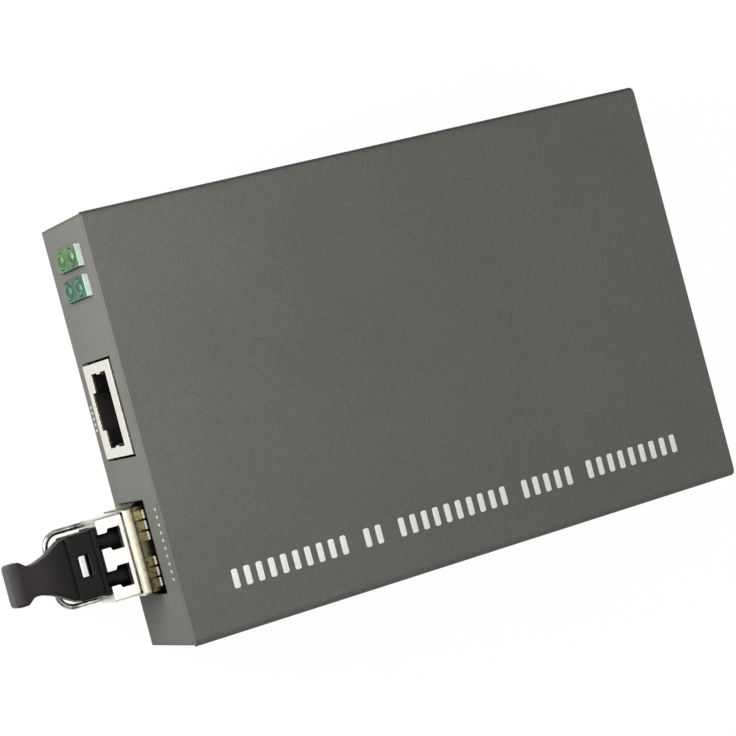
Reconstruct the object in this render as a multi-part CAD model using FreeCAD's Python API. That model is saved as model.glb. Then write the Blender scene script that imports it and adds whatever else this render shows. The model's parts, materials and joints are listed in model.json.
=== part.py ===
"""Fibre media converter: a sheet-steel box with an RJ45 jack and a caged fibre module.

Millimetres. X is the width, -Y the front, +Z up. The origin is the centre of the underside.
"""
import FreeCAD, Part
import math
import os

Vector = FreeCAD.Vector

# ---- case: a folded tray and a folded cover ----
case_width = 72.5
case_length = 108.0
case_height = 22.0
sheet = 1.0                 # steel sheet of the tray and the cover
bend_inside = 0.4           # inside radius of each fold
cover_gap = 0.1             # between the cover and the tray
cover_lift = 0.3            # lower edges of the cover above the table
panel_inset = 0.3           # ends of the front panel inside the cover's sides
lip_height = 8.5            # side lips of the tray
lip_relief = 1.5            # notch between a lip and the end panels
vent_count = 9
vent_width = 1.6
vent_height = 9.0
vent_pitch = 4.0
vent_rise = 12.0            # centre of the vents above the underside
vent_centre_y = 8.0

# ---- fasteners ----
screw_radius = 1.4
screw_hole_gap = 0.1
screw_head_radius = 2.7
screw_head_bevel = 0.6
screw_recess_radius = 0.9
screw_recess_depth = 0.6
cover_screw_length = 4.0
cover_screw_inset = 20.0    # from each end of the case
cover_screw_rise = 5.6
standoff_radius = 2.6
standoff_height = 1.5
board_screw_head_height = 1.6
board_screw_reach = 1.2     # thread below the board
front_post_inset = 16.0     # front standoffs behind the front panel
rear_post_inset = 7.5
post_side_inset = 3.6       # standoffs from the board's long edges

# ---- main board ----
board_thickness = 1.6
board_side_gap = 0.8
board_end_gap = 0.6

# ---- copper jack ----
jack_x = -4.3
jack_width = 16.0
jack_height = 13.0
jack_depth = 21.5
jack_proud = 0.25           # face of the jack in front of the panel
jack_sheet = 0.3
jack_panel_gap = 0.45
port_width = 12.7
port_height = 7.0
port_depth = 14.0
port_top_wall = 2.8
latch_width = 6.4
latch_drop = 1.6
side_spring_width = 1.6
side_spring_length = 3.0
side_spring_rise = 0.45
side_spring_root = 0.25     # the springs stand in this far at the port's mouth
side_spring_sheet = 0.2
side_spring_gap = 0.1
contact_count = 8
contact_pitch = 1.02
contact_wire = 0.35
contact_channel = 1.2       # depth of the wires' channel in the roof of the insulator
contact_setback = 1.9       # front fold of the wires behind the shield
contact_room = 0.7          # insulator's channel in front of that fold
contact_slope = 5.6         # length over which a wire slants down into the port
contact_drop = 3.0
contact_tail = 1.5
contact_back_inset = 0.5

# ---- indicators ----
lamp_inset = 6.4            # first column from the left side of the case
lamp_pitch = 5.08
lamp_radius = 1.45
lamp_proud = 0.6
lamp_flange = 0.15
lamp_flange_length = 0.8
lamp_lead = 0.5
lamp_lead_offset = 0.9      # each lead from the lamp's axis
lamp_lead_drop = 1.0        # lower lamp's leads bend down this far behind it
lamp_lead_pitch = 1.6
lamp_low_rise = 5.25        # lower lamp above the board
lamp_row_pitch = 5.3
holder_width = 3.7
holder_height = 13.4
holder_depth = 5.5
holder_proud = 0.9
holder_foot = 2.4           # below the panel window
holder_foot_setback = 0.1   # foot behind the panel
holder_fit = 0.08           # around the lamps and in the panel window

# ---- fibre module cage ----
cage_inset = 16.95          # centre from the right side of the case
cage_width = 14.2
cage_height = 9.5
cage_proud = 3.4
cage_sheet = 0.3
cage_vent_radius = 1.0
cage_vent_pitch = 4.0
cage_vent_rows = 5
cage_vent_setback = 6.0     # first row of vents behind the panel
cage_catch_width = 3.0      # hole in the floor for the module's latch
cage_catch_length = 2.0
cage_catch_setback = 2.0    # behind the panel
cage_pin_count = 5
cage_pin_pitch = 8.0
cage_pin_setback = 3.0      # first pin behind the board's front edge
cage_pin_hole_gap = 0.3
cage_pin_width = 0.9
cage_pin_length = 2.3
cage_floor_length = 30.0
cage_cut_side = 0.85        # panel opening around the cage
cage_cut_top = 1.5
cage_cut_bottom = 0.7
collar_sheet = 0.2
collar_setback = 0.1        # behind the cage's front edge
collar_band = 1.6
finger_width = 1.45
finger_pitch = 1.8
finger_length = 2.2
finger_rise_top = 1.15
finger_rise_side = 0.6
finger_rise_bottom = 0.45
connector_width = 12.0
connector_height = 6.4
connector_depth = 7.0
connector_slot_depth = 6.4
connector_gap = 0.5         # behind the module's housing
connector_bevel = 0.5
cage_end_gap = 0.5          # cage's back behind the connector
slot_fit = 0.15

# ---- fibre module ----
module_fit = 0.15           # to the cage floor
module_width = 13.4
module_height = 8.5
module_wall = 1.0
module_length = 51.5
nose_width = 14.0           # too broad to enter the cage
nose_length = 4.8           # in front of the cage
nose_round = 0.5
nose_gap = 0.3              # between the cage's front edge and the nose
nose_groove = 0.9           # groove round the top of the body behind the nose
nose_groove_depth = 0.7
nose_drop = 0.65            # nose below the body
nose_lip = 0.9              # floor of the nose in front of its face
nose_lip_height = 2.0
nose_lip_half_width = 4.0
housing_length = 45.1
pan_sheet = 0.3
pan_side_height = 5.5
module_board_thickness = 1.0
module_board_width = 10.4
module_board_rise = 3.3
board_edge_bevel = 0.25

# ---- fibre ports ----
port_pitch = 6.25
fibre_port_width = 4.5
fibre_port_height = 4.7
fibre_port_rise = 4.35      # optical axis above the module's underside
receptacle_wall = 0.3
receptacle_fit = 0.04
receptacle_floor = 0.45
receptacle_depth = 9.0
receptacle_end = 1.5        # wall behind the ports
notch_front_width = 2.5
notch_rear_width = 3.7
notch_shoulder = 1.5
notch_slant = 0.3
notch_length = 3.9
bulkhead = 1.2
barrel_radius = 1.25
barrel_length = 5.2
barrel_fit = 0.08
barrel_bevel = 0.2
can_radius = 2.2
can_length = 5.0
can_waist_radius = 1.7
can_waist_length = 0.8
can_flange_length = 1.2

# ---- bail and latch ----
bail_radius = 0.5
bail_facets = 8
bail_arm_x = 6.35           # arms from the middle of the module
bail_reach = 8.8
bail_corner = 2.5
bail_pin_bend = 0.55
bail_pin_inner_x = 4.3
bail_pivot_setback = 2.3    # pivot behind the nose's face
bail_pivot_rise = 0.95      # pivot above the nose's floor
bail_droop = 5.0            # degrees below level
bail_pin_fit = 0.06
rebate_width = 0.95
rebate_height = 1.9
latch_width_half = 2.3
latch_thickness = 0.9
latch_length = 10.5
latch_setback = 1.6
latch_fit = 0.1
wedge_width = 2.4           # wedge that drops into the cage's catch
wedge_length = 2.2
wedge_flat = 0.4
wedge_inset = 1.8

# ---- dust plug ----
plug_body_width = 10.9
plug_body_height = 5.6
plug_body_length = 5.0
plug_body_round = 0.5
plug_wall = 0.9             # around the hollow under the body
plug_roof = 1.2
plug_face_gap = 0.1
plug_ridge_width = 11.4
plug_ridge_length = 0.7
plug_ridge_height = 6.2
plug_window_width = 3.5
plug_window_length = 2.0
plug_window_setback = 1.6
plug_step_height = 3.8
plug_root_width = 10.2
plug_neck_width = 5.2
plug_neck_distance = 10.6
plug_grip_width = 7.2
plug_grip_length = 2.2
plug_grip_distance = 13.2
plug_edge_round = 0.6
plug_shoulder = 0.5         # where the handle leaves the body
plug_sweep = 4.0            # radius of the concave sides
plug_waist_width = 6.8
plug_waist_distance = 8.3   # from the plug's face to the middle of its taper
plug_flare = 1.2            # radius between the neck and the grip
prong_radius = 2.15
prong_bore = 1.5
prong_length = 6.0
prong_root = 0.5            # the prongs start inside the body

# ---- power inlet ----
inlet_inset = 18.0          # centre from the left-hand side seen from behind
inlet_width = 9.0
inlet_height = 11.0
inlet_depth = 14.0
inlet_axis_rise = 6.5
inlet_bore_radius = 3.1
inlet_bore_depth = 9.5
inlet_rim = 1.5             # whole ring of the socket in front of the leaf's slot
inlet_bevel = 0.6
inlet_pin_radius = 1.0
inlet_pin_length = 8.5
inlet_pin_tail = 2.0
inlet_hole_radius = 4.0
inlet_panel_gap = 0.15
inlet_spring_width = 1.8
inlet_spring_sheet = 0.3
inlet_spring_length = 6.0
inlet_spring_rise = 0.7     # crest of the leaf above the socket's wall
pin_fit = 0.05

# ---- mode switch ----
switch_inset = 22.0
switch_count = 4
switch_pitch = 2.54
switch_height = 9.0
switch_depth = 6.0
switch_margin = 2.0
switch_window_gap = 0.3
slider_width = 1.3
slider_height = 1.5
slider_proud = 0.5
slider_stem = 2.2
slider_bevel = 0.2
slider_tail = 0.8           # wider foot that keeps a slider in its slot
slider_tail_length = 1.2
slider_travel = 1.9
slider_fit = 0.08

# ---- parts on the main board ----
magnetics_size = (15.0, 15.0, 6.0)
magnetics_gap = 2.5         # behind the jack
chip_size = (14.0, 14.0, 1.4)
chip_gap = 7.0              # behind the magnetics
chip_lift = 0.15            # body above the board
chip_bevel = 0.3
leg_width = 0.5
leg_sheet = 0.2
leg_reach = 1.2
leg_count = 7
regulator_size = (6.5, 6.0, 2.2)
power_gap = 4.0             # power parts in front of the inlet
power_pitch = 14.0
crystal_offset = 17.0       # from the middle of the converter chip
crystal_size = (11.4, 4.7, 3.4)
crystal_rim = 0.4
inductor_radius = 5.0
inductor_height = 4.5
inductor_flange = 0.8
inductor_waist = 1.0        # winding's depth below the flanges
capacitor_radius = 3.15
capacitor_height = 8.0
capacitor_foot = 1.0         # groove above the board
capacitor_groove = 0.3

# ---- places worked out from the sizes above ----
half_width = case_width / 2
screw_hole_radius = screw_radius + screw_hole_gap
front = -case_length / 2
rear = case_length / 2
panel_back = front + sheet
rear_panel_face = rear - sheet
tray_half = half_width - sheet - cover_gap
panel_half = half_width - panel_inset
panel_top = case_height - sheet - cover_gap
bend_outside = bend_inside + sheet
board_bottom = sheet + standoff_height
board_top = board_bottom + board_thickness
board_half = tray_half - sheet - board_side_gap
board_front = panel_back + board_end_gap
board_rear = rear_panel_face - board_end_gap
lamp_columns = [-half_width + lamp_inset + i * lamp_pitch for i in range(2)]
lamp_rows = [board_top + lamp_low_rise + i * lamp_row_pitch for i in range(2)]
jack_face = front - jack_proud
jack_back = jack_face + jack_depth
jack_top = board_top + jack_height
port_top = jack_top - port_top_wall
port_bottom = port_top - port_height
cage_x = half_width - cage_inset
cage_half = cage_width / 2
cage_front = front - cage_proud
cage_top = board_top + cage_height
module_bottom = board_top + cage_sheet + module_fit
module_top = module_bottom + module_height
module_half = module_width / 2
body_half = module_half - pan_sheet
nose_back = cage_front - nose_gap
nose_face = cage_front - nose_length
nose_bottom = module_bottom - nose_drop
housing_back = nose_face + housing_length
module_back = nose_face + module_length
connector_front = housing_back + connector_gap
connector_back = connector_front + connector_depth
cage_back = connector_back + cage_end_gap
fibre_z = module_bottom + fibre_port_rise
fibre_ports = [cage_x - port_pitch / 2, cage_x + port_pitch / 2]
fibre_port_top = fibre_z + fibre_port_height / 2
receptacle_half = (port_pitch + fibre_port_width) / 2 + receptacle_wall
receptacle_bottom = fibre_z - fibre_port_height / 2 - receptacle_floor
receptacle_top = fibre_port_top + receptacle_floor
receptacle_back = nose_face + receptacle_depth
bulkhead_back = receptacle_back + bulkhead
module_board_bottom = module_bottom + module_board_rise
module_board_front = bulkhead_back + can_length + 0.5
latch_front = nose_face + latch_setback
latch_back = latch_front + latch_length
latch_top = module_bottom + pan_sheet + latch_thickness
bail_y = nose_face + bail_pivot_setback
bail_z = nose_bottom + bail_pivot_rise
plug_face = nose_face - plug_face_gap
inlet_x = half_width - inlet_inset
inlet_back = rear_panel_face - inlet_panel_gap
inlet_z = board_top + inlet_axis_rise
inlet_bore_end = inlet_back - inlet_bore_depth
switch_x = -half_width + switch_inset
switch_half = (switch_count - 1) * switch_pitch / 2 + switch_margin
switch_face = rear_panel_face - inlet_panel_gap
slider_centres = [switch_x + (i - (switch_count - 1) / 2) * switch_pitch for i in range(switch_count)]
slider_low = board_top + switch_height / 2 - slider_travel / 2
front_post_y = panel_back + front_post_inset
rear_post_y = rear_panel_face - rear_post_inset
post_x = board_half - post_side_inset
posts = [(x, y) for x in (-post_x, post_x) for y in (front_post_y, rear_post_y)]
cover_screw_ys = (front + cover_screw_inset, rear - cover_screw_inset)
magnetics_y = jack_back + magnetics_gap + magnetics_size[1] / 2
chip_y = magnetics_y + magnetics_size[1] / 2 + chip_gap + chip_size[1] / 2


# ---- shapes ----
def block(x, y, z):
    """A box between three (low, high) pairs."""
    return Part.makeBox(x[1] - x[0], y[1] - y[0], z[1] - z[0], Vector(x[0], y[0], z[0]))


def span(centre, width):
    """The (low, high) pair of a width about its centre."""
    return (centre - width / 2, centre + width / 2)


def rod(radius, start, end):
    """A cylinder from one point to another."""
    axis = end.sub(start)
    return Part.makeCylinder(radius, axis.Length, start, axis)


def turned(profile, start, axis, sides=16):
    """A turned solid with flat facets: a (distance, radius) profile carried round an axis."""
    across = Vector(1, 0, 0) if abs(axis.z) > 0.5 else Vector(0, 0, 1)
    other = axis.cross(across)
    angles = [(i + 0.5) * 2 * math.pi / sides for i in range(sides)]

    def ring(distance, radius):
        centre = start.add(axis * distance)
        return [centre + across * (radius * math.cos(a)) + other * (radius * math.sin(a)) for a in angles]

    rings = [ring(distance, radius) for distance, radius in profile]
    faces = []
    for (low, high), (p, q) in zip(zip(rings, rings[1:]), zip(profile, profile[1:])):
        for i in range(sides):
            j = (i + 1) % sides
            near = [low[i], low[j]] if p[1] > 0 else [low[i]]
            far = [high[j], high[i]] if q[1] > 0 else [high[i]]
            corners = near + far
            faces.append(Part.Face(Part.makePolygon(corners + corners[:1])))
    shell = Part.Shell(faces)
    shell.sewShape()
    solid = Part.Solid(shell)
    if solid.Volume < 0:
        solid.reverse()
    return solid.removeSplitter()


def peg(radius, start, end, sides=12):
    """A round peg or hole with flat facets, from one point to another."""
    axis = end.sub(start)
    length = axis.Length
    return turned([(0, 0), (0, radius), (length, radius), (length, 0)], start, axis.normalize(), sides)


def in_yz(x=0.0):
    """Places a drawing's (u, v) at (y, z) on the plane of this x."""
    return lambda u, v: Vector(x, u, v)


def in_xz(y=0.0):
    """Places a drawing's (u, v) at (x, z) on the plane of this y."""
    return lambda u, v: Vector(u, y, v)


def in_xy(z=0.0):
    """Places a drawing's (u, v) at (x, y) on the plane of this z."""
    return lambda u, v: Vector(u, v, z)


def path(corners, place, closed=True):
    """Straight runs through (u, v, radius) corners, each corner rounded by a tangent arc."""
    count = len(corners)
    starts, ends, arcs = [], [], []
    for i, (u, v, radius) in enumerate(corners):
        inner = closed or 0 < i < count - 1
        if not inner or radius <= 0:
            starts.append((u, v))
            ends.append((u, v))
            arcs.append(None)
            continue
        before = corners[i - 1]
        after = corners[(i + 1) % count]
        a = Vector(before[0] - u, before[1] - v, 0).normalize()
        b = Vector(after[0] - u, after[1] - v, 0).normalize()
        half = math.acos(max(-1.0, min(1.0, a.dot(b)))) / 2
        reach = radius / math.tan(half)
        middle = a.add(b).normalize() * (radius / math.sin(half) - radius)
        starts.append((u + a.x * reach, v + a.y * reach))
        ends.append((u + b.x * reach, v + b.y * reach))
        arcs.append((u + middle.x, v + middle.y))
    edges = []
    for i in range(count):
        if arcs[i]:
            edges.append(Part.Arc(place(*starts[i]), place(*arcs[i]), place(*ends[i])).toShape())
        if i == count - 1 and not closed:
            break
        p, q = place(*ends[i]), place(*starts[(i + 1) % count])
        if p.distanceToPoint(q) > 1e-6:
            edges.append(Part.LineSegment(p, q).toShape())
    return Part.Wire(edges)


def prism(corners, place, depth):
    """A drawing of rounded corners, extruded by a vector."""
    return Part.Face(path(corners, place)).extrude(depth)


def strip(points, thickness, radius=0.0):
    """Corners of a bent sheet's section about a centre line, rounded inside and outside each bend."""
    sides = ([], [])
    last = len(points) - 1
    for i, (u, v) in enumerate(points):
        before = points[max(i - 1, 0)]
        after = points[min(i + 1, last)]
        run_in = (u - before[0], v - before[1]) if i > 0 else (after[0] - u, after[1] - v)
        run_out = (after[0] - u, after[1] - v) if i < last else run_in
        d1 = Vector(run_in[0], run_in[1], 0).normalize()
        d2 = Vector(run_out[0], run_out[1], 0).normalize()
        n1, n2 = Vector(-d1.y, d1.x, 0), Vector(-d2.y, d2.x, 0)
        offset = n1.add(n2) * (thickness / 2 / (1 + n1.dot(n2)))
        turn = d1.x * d2.y - d1.y * d2.x
        for side, sign in ((sides[0], 1), (sides[1], -1)):
            bend = 0.0
            if radius > 0 and abs(turn) > 1e-6:
                bend = radius if turn * sign > 0 else radius + thickness
            side.append((u + sign * offset.x, v + sign * offset.y, bend))
    return sides[0] + sides[1][::-1]


def slot(width, length, place, depth):
    """A slot along v whose ends are bevelled to nearly round, extruded by a vector."""
    w, h = width / 2, length / 2
    c, e = w * 0.45, h - w * 0.6
    corners = [(-w, -e), (-c, -h), (c, -h), (w, -e), (w, e), (c, h), (-c, h), (-w, e)]
    return prism([(u, v, 0) for u, v in corners], place, depth)


def tube_box(x, y, z, wall):
    """A rectangular tube along Y with walls of sheet."""
    inner = block((x[0] + wall, x[1] - wall), (y[0] - 1, y[1] + 1), (z[0] + wall, z[1] - wall))
    return block(x, y, z).cut(inner)


def joined(shapes):
    """One solid from overlapping or touching ones, with its flat faces merged."""
    first, rest = shapes[0], shapes[1:]
    return first.fuse(rest).removeSplitter() if rest else first


def pattern(make, places):
    """Separate copies of one shape, one at each place."""
    return Part.makeCompound([make(*place) for place in places])


def chamfered(shape, size, select):
    """The shape with a chamfer on the edges that the test selects."""
    return shape.makeChamfer(size, [e for e in shape.Edges if select(e)])


# ---- case ----
def port_outline(grow):
    """The copper port's stepped opening, wider by grow on every side: plug window and latch recess."""
    w, c = port_width / 2 + grow, latch_width / 2 + grow
    low, high = port_bottom - grow, port_top + grow
    latch_low = port_bottom - latch_drop - grow
    return [
        (jack_x - w, high, 0), (jack_x - w, low, 0), (jack_x - c, low, 0), (jack_x - c, latch_low, 0.3),
        (jack_x + c, latch_low, 0.3), (jack_x + c, low, 0), (jack_x + w, low, 0), (jack_x + w, high, 0),
    ]


def front_cutouts():
    """Openings of the front panel: lamp holders, copper jack and cage."""
    y = (front - 1, panel_back + 1)
    holder_z = (board_top + holder_foot - holder_fit, board_top + holder_height + holder_fit)
    cuts = [block(span(x, holder_width + 2 * holder_fit), y, holder_z) for x in lamp_columns]
    cuts.append(block(span(jack_x, jack_width + 2 * jack_panel_gap), y,
                      (board_top - jack_panel_gap, jack_top + jack_panel_gap)))
    cuts.append(block(span(cage_x, cage_width + 2 * cage_cut_side), y,
                      (board_top - cage_cut_bottom, cage_top + cage_cut_top)))
    return cuts


def rear_cutouts():
    """Openings of the rear panel: power inlet and mode switch."""
    inlet = rod(inlet_hole_radius, Vector(inlet_x, rear_panel_face - 1, inlet_z),
                Vector(inlet_x, rear + 1, inlet_z))
    window = block(span(switch_x, 2 * (switch_half + switch_window_gap)), (rear_panel_face - 1, rear + 1),
                   (board_top - switch_window_gap, board_top + switch_height + switch_window_gap))
    return [inlet, window]


def tray_lip(side):
    """One side lip of the tray with the fold that joins it to the floor."""
    edge = side * tray_half
    root = edge - side * 2 * bend_outside
    corners = [
        (root, 0, 0), (edge, 0, bend_outside), (edge, lip_height, 0),
        (edge - side * sheet, lip_height, 0), (edge - side * sheet, sheet, bend_inside), (root, sheet, 0),
    ]
    start = panel_back + lip_relief
    return prism(corners, in_xz(start), Vector(0, rear_panel_face - lip_relief - start, 0))


def base_tray():
    """Floor and end panels folded from one sheet, with a lip along each side.

    The front panel runs out over the front edges of the cover's sides.
    """
    section = [
        (front, panel_top, 0), (front, 0, bend_outside), (rear, 0, bend_outside), (rear, panel_top, 0),
        (rear_panel_face, panel_top, 0), (rear_panel_face, sheet, bend_inside),
        (panel_back, sheet, bend_inside), (panel_back, panel_top, 0),
    ]
    tray = prism(section, in_yz(-panel_half), Vector(2 * panel_half, 0, 0))
    relief = (panel_back + 2 * bend_inside, rear_panel_face - 2 * bend_inside)
    for side in (-1, 1):
        strip_x = sorted((side * tray_half, side * case_width))
        tray = tray.cut(block(strip_x, (panel_back, rear + 1), (-1, case_height)))
        edge = sorted((side * (tray_half - bend_outside), side * (tray_half + 1)))
        tray = tray.cut(block(edge, relief, (-1, sheet + 1)))
        lip = tray_lip(side)
        holes = [peg(screw_hole_radius, Vector(side * (tray_half - 2 * sheet), y, cover_screw_rise),
                     Vector(side * (tray_half + 1), y, cover_screw_rise)) for y in cover_screw_ys]
        tray = tray.fuse(lip.cut(holes))
    post_holes = [peg(screw_hole_radius, Vector(x, y, -1), Vector(x, y, sheet + 1)) for x, y in posts]
    tray = tray.cut(front_cutouts() + rear_cutouts() + post_holes).removeSplitter()
    corners = [e for e in tray.Edges if e.BoundBox.ZMin > panel_top - 1e-3 and e.BoundBox.XLength < 1e-3]
    return tray.makeFillet(bend_inside + cover_gap, corners)


def side_screw_places():
    """(side, y) of every cover screw."""
    return [(side, y) for side in (-1, 1) for y in cover_screw_ys]


def countersink(side, y, grow):
    """The cone of a cover screw's head in the cover's side, larger by grow."""
    outer = Vector(side * half_width, y, cover_screw_rise)
    big, small = screw_head_radius + grow, screw_radius + grow
    return turned([(0, 0), (0, big), (sheet, small), (sheet, 0)], outer, Vector(-side, 0, 0), 20)


def top_cover():
    """Top and both sides folded from one sheet, with vents and countersunk screw holes in the sides."""
    w, h = half_width, case_height
    section = [
        (-w, cover_lift, 0), (-w, h, bend_outside), (w, h, bend_outside), (w, cover_lift, 0),
        (w - sheet, cover_lift, 0), (w - sheet, h - sheet, bend_inside),
        (-w + sheet, h - sheet, bend_inside), (-w + sheet, cover_lift, 0),
    ]
    cover = prism(section, in_xz(front), Vector(0, case_length, 0))
    cuts = [countersink(side, y, screw_hole_gap) for side, y in side_screw_places()]
    cuts += [block(sorted((side * (w - 2 * sheet), side * case_width)), (front - 1, panel_back + cover_gap),
                   (-1, panel_top + cover_gap)) for side in (-1, 1)]
    for i in range(vent_count):
        y = vent_centre_y + (i - (vent_count - 1) / 2) * vent_pitch
        vent = slot(vent_width, vent_height, in_yz(-w - 1), Vector(case_width + 2, 0, 0))
        vent.translate(Vector(0, y, vent_rise))
        cuts.append(vent)
    return cover.cut(cuts)


def cover_screw(side, y):
    """A countersunk screw through the cover's side into the tray's lip."""
    head = countersink(side, y, 0)
    shank = peg(screw_radius, Vector(side * (half_width - sheet), y, cover_screw_rise),
                Vector(side * (half_width - cover_screw_length), y, cover_screw_rise))
    recess = peg(screw_recess_radius, Vector(side * (half_width + 1), y, cover_screw_rise),
                 Vector(side * (half_width - screw_recess_depth), y, cover_screw_rise), 6)
    return head.fuse(shank).cut(recess).removeSplitter()


def standoff(x, y):
    """A hexagonal spacer on the floor that carries the board."""
    post = peg(standoff_radius, Vector(x, y, sheet), Vector(x, y, board_bottom), 6)
    return post.cut(peg(screw_hole_radius, Vector(x, y, sheet - 1), Vector(x, y, board_bottom + 1)))


def board_screw(x, y):
    """A pan-head screw through the board into its standoff."""
    reach = board_thickness + board_screw_reach
    top = reach + board_screw_head_height
    profile = [(0, 0), (0, screw_radius), (reach, screw_radius), (reach, screw_head_radius),
               (top - screw_head_bevel, screw_head_radius),
               (top, screw_head_radius - screw_head_bevel), (top, 0)]
    return turned(profile, Vector(x, y, board_top - reach), Vector(0, 0, 1), 12)


def cage_pin_places():
    """(x, y) of the cage's board pins along both side walls."""
    first = board_front + cage_pin_setback
    x = cage_half - cage_sheet / 2
    return [(cage_x + side * x, first + i * cage_pin_pitch)
            for side in (-1, 1) for i in range(cage_pin_count)]


def main_board():
    """The circuit board, with its screw holes and the holes for the cage's pins."""
    board = block((-board_half, board_half), (board_front, board_rear), (board_bottom, board_top))
    holes = [peg(screw_hole_radius, Vector(x, y, board_bottom - 1), Vector(x, y, board_top + 1))
             for x, y in posts]
    holes += [block(span(x, cage_sheet + cage_pin_hole_gap), span(y, cage_pin_width + cage_pin_hole_gap),
                    (board_bottom - 1, board_top + 1)) for x, y in cage_pin_places()]
    return board.cut(holes)


# ---- copper jack ----
def rj45_shield():
    """Folded tin-plated box: a front frame around the port, sides, roof and back, open underneath."""
    x = span(jack_x, jack_width)
    shell = block(x, (jack_face, jack_back), (board_top, jack_top))
    inner = block((x[0] + jack_sheet, x[1] - jack_sheet), (jack_face + jack_sheet, jack_back - jack_sheet),
                  (board_top - 1, jack_top - jack_sheet))
    window = prism(port_outline(0), in_xz(jack_face - 1), Vector(0, jack_sheet + 2, 0))
    shell = shell.cut([inner, window])
    springs = []
    for side in (-1, 1):
        wall = jack_x + side * port_width / 2
        crest = wall - side * side_spring_rise
        lip = wall - side * side_spring_root
        root = wall + side * side_spring_sheet
        middle = port_bottom + port_height / 2
        bump = [(lip, 0, 0), (crest, 0.3 * side_spring_length, 0), (crest, 0.45 * side_spring_length, 0),
                (wall, side_spring_length, 0), (root, side_spring_length, 0), (root, 0, 0)]
        spring = prism(bump, in_xy(middle - side_spring_width / 2), Vector(0, 0, side_spring_width))
        spring.translate(Vector(0, jack_face, 0))
        springs.append(spring)
    return joined([shell] + springs)


def rj45_body():
    """Moulded insulator that fills the shield: plug cavity, latch recess and the wires' channel."""
    x = (jack_x - jack_width / 2 + jack_sheet, jack_x + jack_width / 2 - jack_sheet)
    y = (jack_face + jack_sheet, jack_back - jack_sheet)
    body = block(x, y, (board_top, jack_top - jack_sheet))
    cavity = prism(port_outline(0), in_xz(y[0] - 1), Vector(0, port_depth + 1, 0))
    springs = [block(span(jack_x + side * port_width / 2, 2 * (side_spring_sheet + side_spring_gap)),
                     (y[0] - 1, jack_face + side_spring_length + side_spring_gap),
                     span(port_bottom + port_height / 2, side_spring_width + 2 * side_spring_gap))
               for side in (-1, 1)]
    row = span(jack_x, contact_count * contact_pitch)
    start = y[0] + contact_setback - contact_room
    channel = block(row, (start, y[1] + 1), (jack_top - jack_sheet - contact_channel, jack_top))
    roof = block(row, (start, y[0] + contact_setback + contact_slope), (port_top - 1, jack_top))
    back = block(row, (y[1] - 2 * contact_back_inset, y[1] + 1), (board_top - 1, jack_top))
    return body.cut([cavity, channel, roof, back] + springs)


def rj45_contact(x):
    """One spring wire: up the back, along the roof, then folded back down into the plug cavity."""
    y0, y1 = jack_face + jack_sheet, jack_back - jack_sheet
    roof = jack_top - jack_sheet - contact_channel / 2
    fold = y0 + contact_setback
    low = port_top - contact_drop
    line = [
        (y1 - contact_back_inset, board_top), (y1 - contact_back_inset, roof), (fold, roof),
        (fold, port_top - contact_wire / 2), (fold + contact_slope, low),
        (fold + contact_slope + contact_tail, low),
    ]
    return prism(strip(line, contact_wire), in_yz(x - contact_wire / 2), Vector(contact_wire, 0, 0))


def rj45_contacts():
    """The eight spring wires side by side."""
    first = jack_x - (contact_count - 1) * contact_pitch / 2
    return pattern(rj45_contact, [(first + i * contact_pitch,) for i in range(contact_count)])


# ---- indicators ----
def lamp_holder(x):
    """A clear block that stands on the board, fills its panel window and carries two lamps."""
    y = (front - holder_proud, front - holder_proud + holder_depth)
    holder = block(span(x, holder_width), y, (board_top, board_top + holder_height))
    holder = holder.cut(block(span(x, 2 * holder_width), (y[0] - 1, panel_back + holder_foot_setback),
                              (board_top - 1, board_top + holder_foot)))
    for z in lamp_rows:
        holder = holder.cut([
            peg(lamp_radius + holder_fit, Vector(x, y[0] - 1, z), Vector(x, y[1] + 1, z), 16),
            peg(lamp_radius + lamp_flange + holder_fit,
                Vector(x, y[1] - lamp_flange_length - holder_fit, z), Vector(x, y[1] + 1, z), 16),
        ])
    return holder


def lamp(x, z):
    """A round lamp: domed lens, flange, and two leads bent down to the board."""
    back = front - holder_proud + holder_depth
    tip = front - holder_proud - lamp_proud
    length = back - tip
    steps = [math.radians(angle) for angle in (20, 45, 70, 90)]
    dome = [(lamp_proud * (1 - math.cos(a)), lamp_radius * math.sin(a)) for a in steps]
    rim = length - lamp_flange_length
    lens = turned([(0, 0)] + dome + [(rim, lamp_radius), (rim, lamp_radius + lamp_flange),
                                     (length, lamp_radius + lamp_flange), (length, 0)],
                  Vector(x, tip, z), Vector(0, 1, 0), 16)
    row = lamp_rows.index(z)
    drop = back + lamp_lead_drop + row * lamp_lead_pitch
    line = [(back - lamp_lead / 2, z), (drop, z), (drop, board_top)]
    leads = [prism(strip(line, lamp_lead), in_yz(x + side * lamp_lead_offset - lamp_lead / 2),
                   Vector(lamp_lead, 0, 0)) for side in (-1, 1)]
    return joined([lens] + leads)


# ---- cage ----
def sfp_cage():
    """Folded cage on the board: open front, closed back, a floor at the front only, and a vented roof."""
    x = span(cage_x, cage_width)
    z = (board_top, cage_top)
    shell = tube_box(x, (cage_front, cage_back), z, cage_sheet)
    back = block(x, (cage_back - cage_sheet, cage_back), z)
    inner_x = (x[0] + cage_sheet, x[1] - cage_sheet)
    opening = block(inner_x, (cage_front + cage_floor_length, cage_back - cage_sheet), (z[0] - 1, z[0] + 1))
    catch_y = (panel_back + cage_catch_setback, panel_back + cage_catch_setback + cage_catch_length)
    catch = block(span(cage_x, cage_catch_width), catch_y, (z[0] - 1, z[0] + 1))
    vents = []
    for row in range(cage_vent_rows):
        y = panel_back + cage_vent_setback + row * cage_vent_pitch
        for column in (-1, 0, 1):
            centre = Vector(cage_x + column * cage_vent_pitch, y, cage_top - 1)
            vents.append(peg(cage_vent_radius, centre, centre.add(Vector(0, 0, 2)), 8))
    return joined([shell, back]).cut([opening, catch] + vents)


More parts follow.
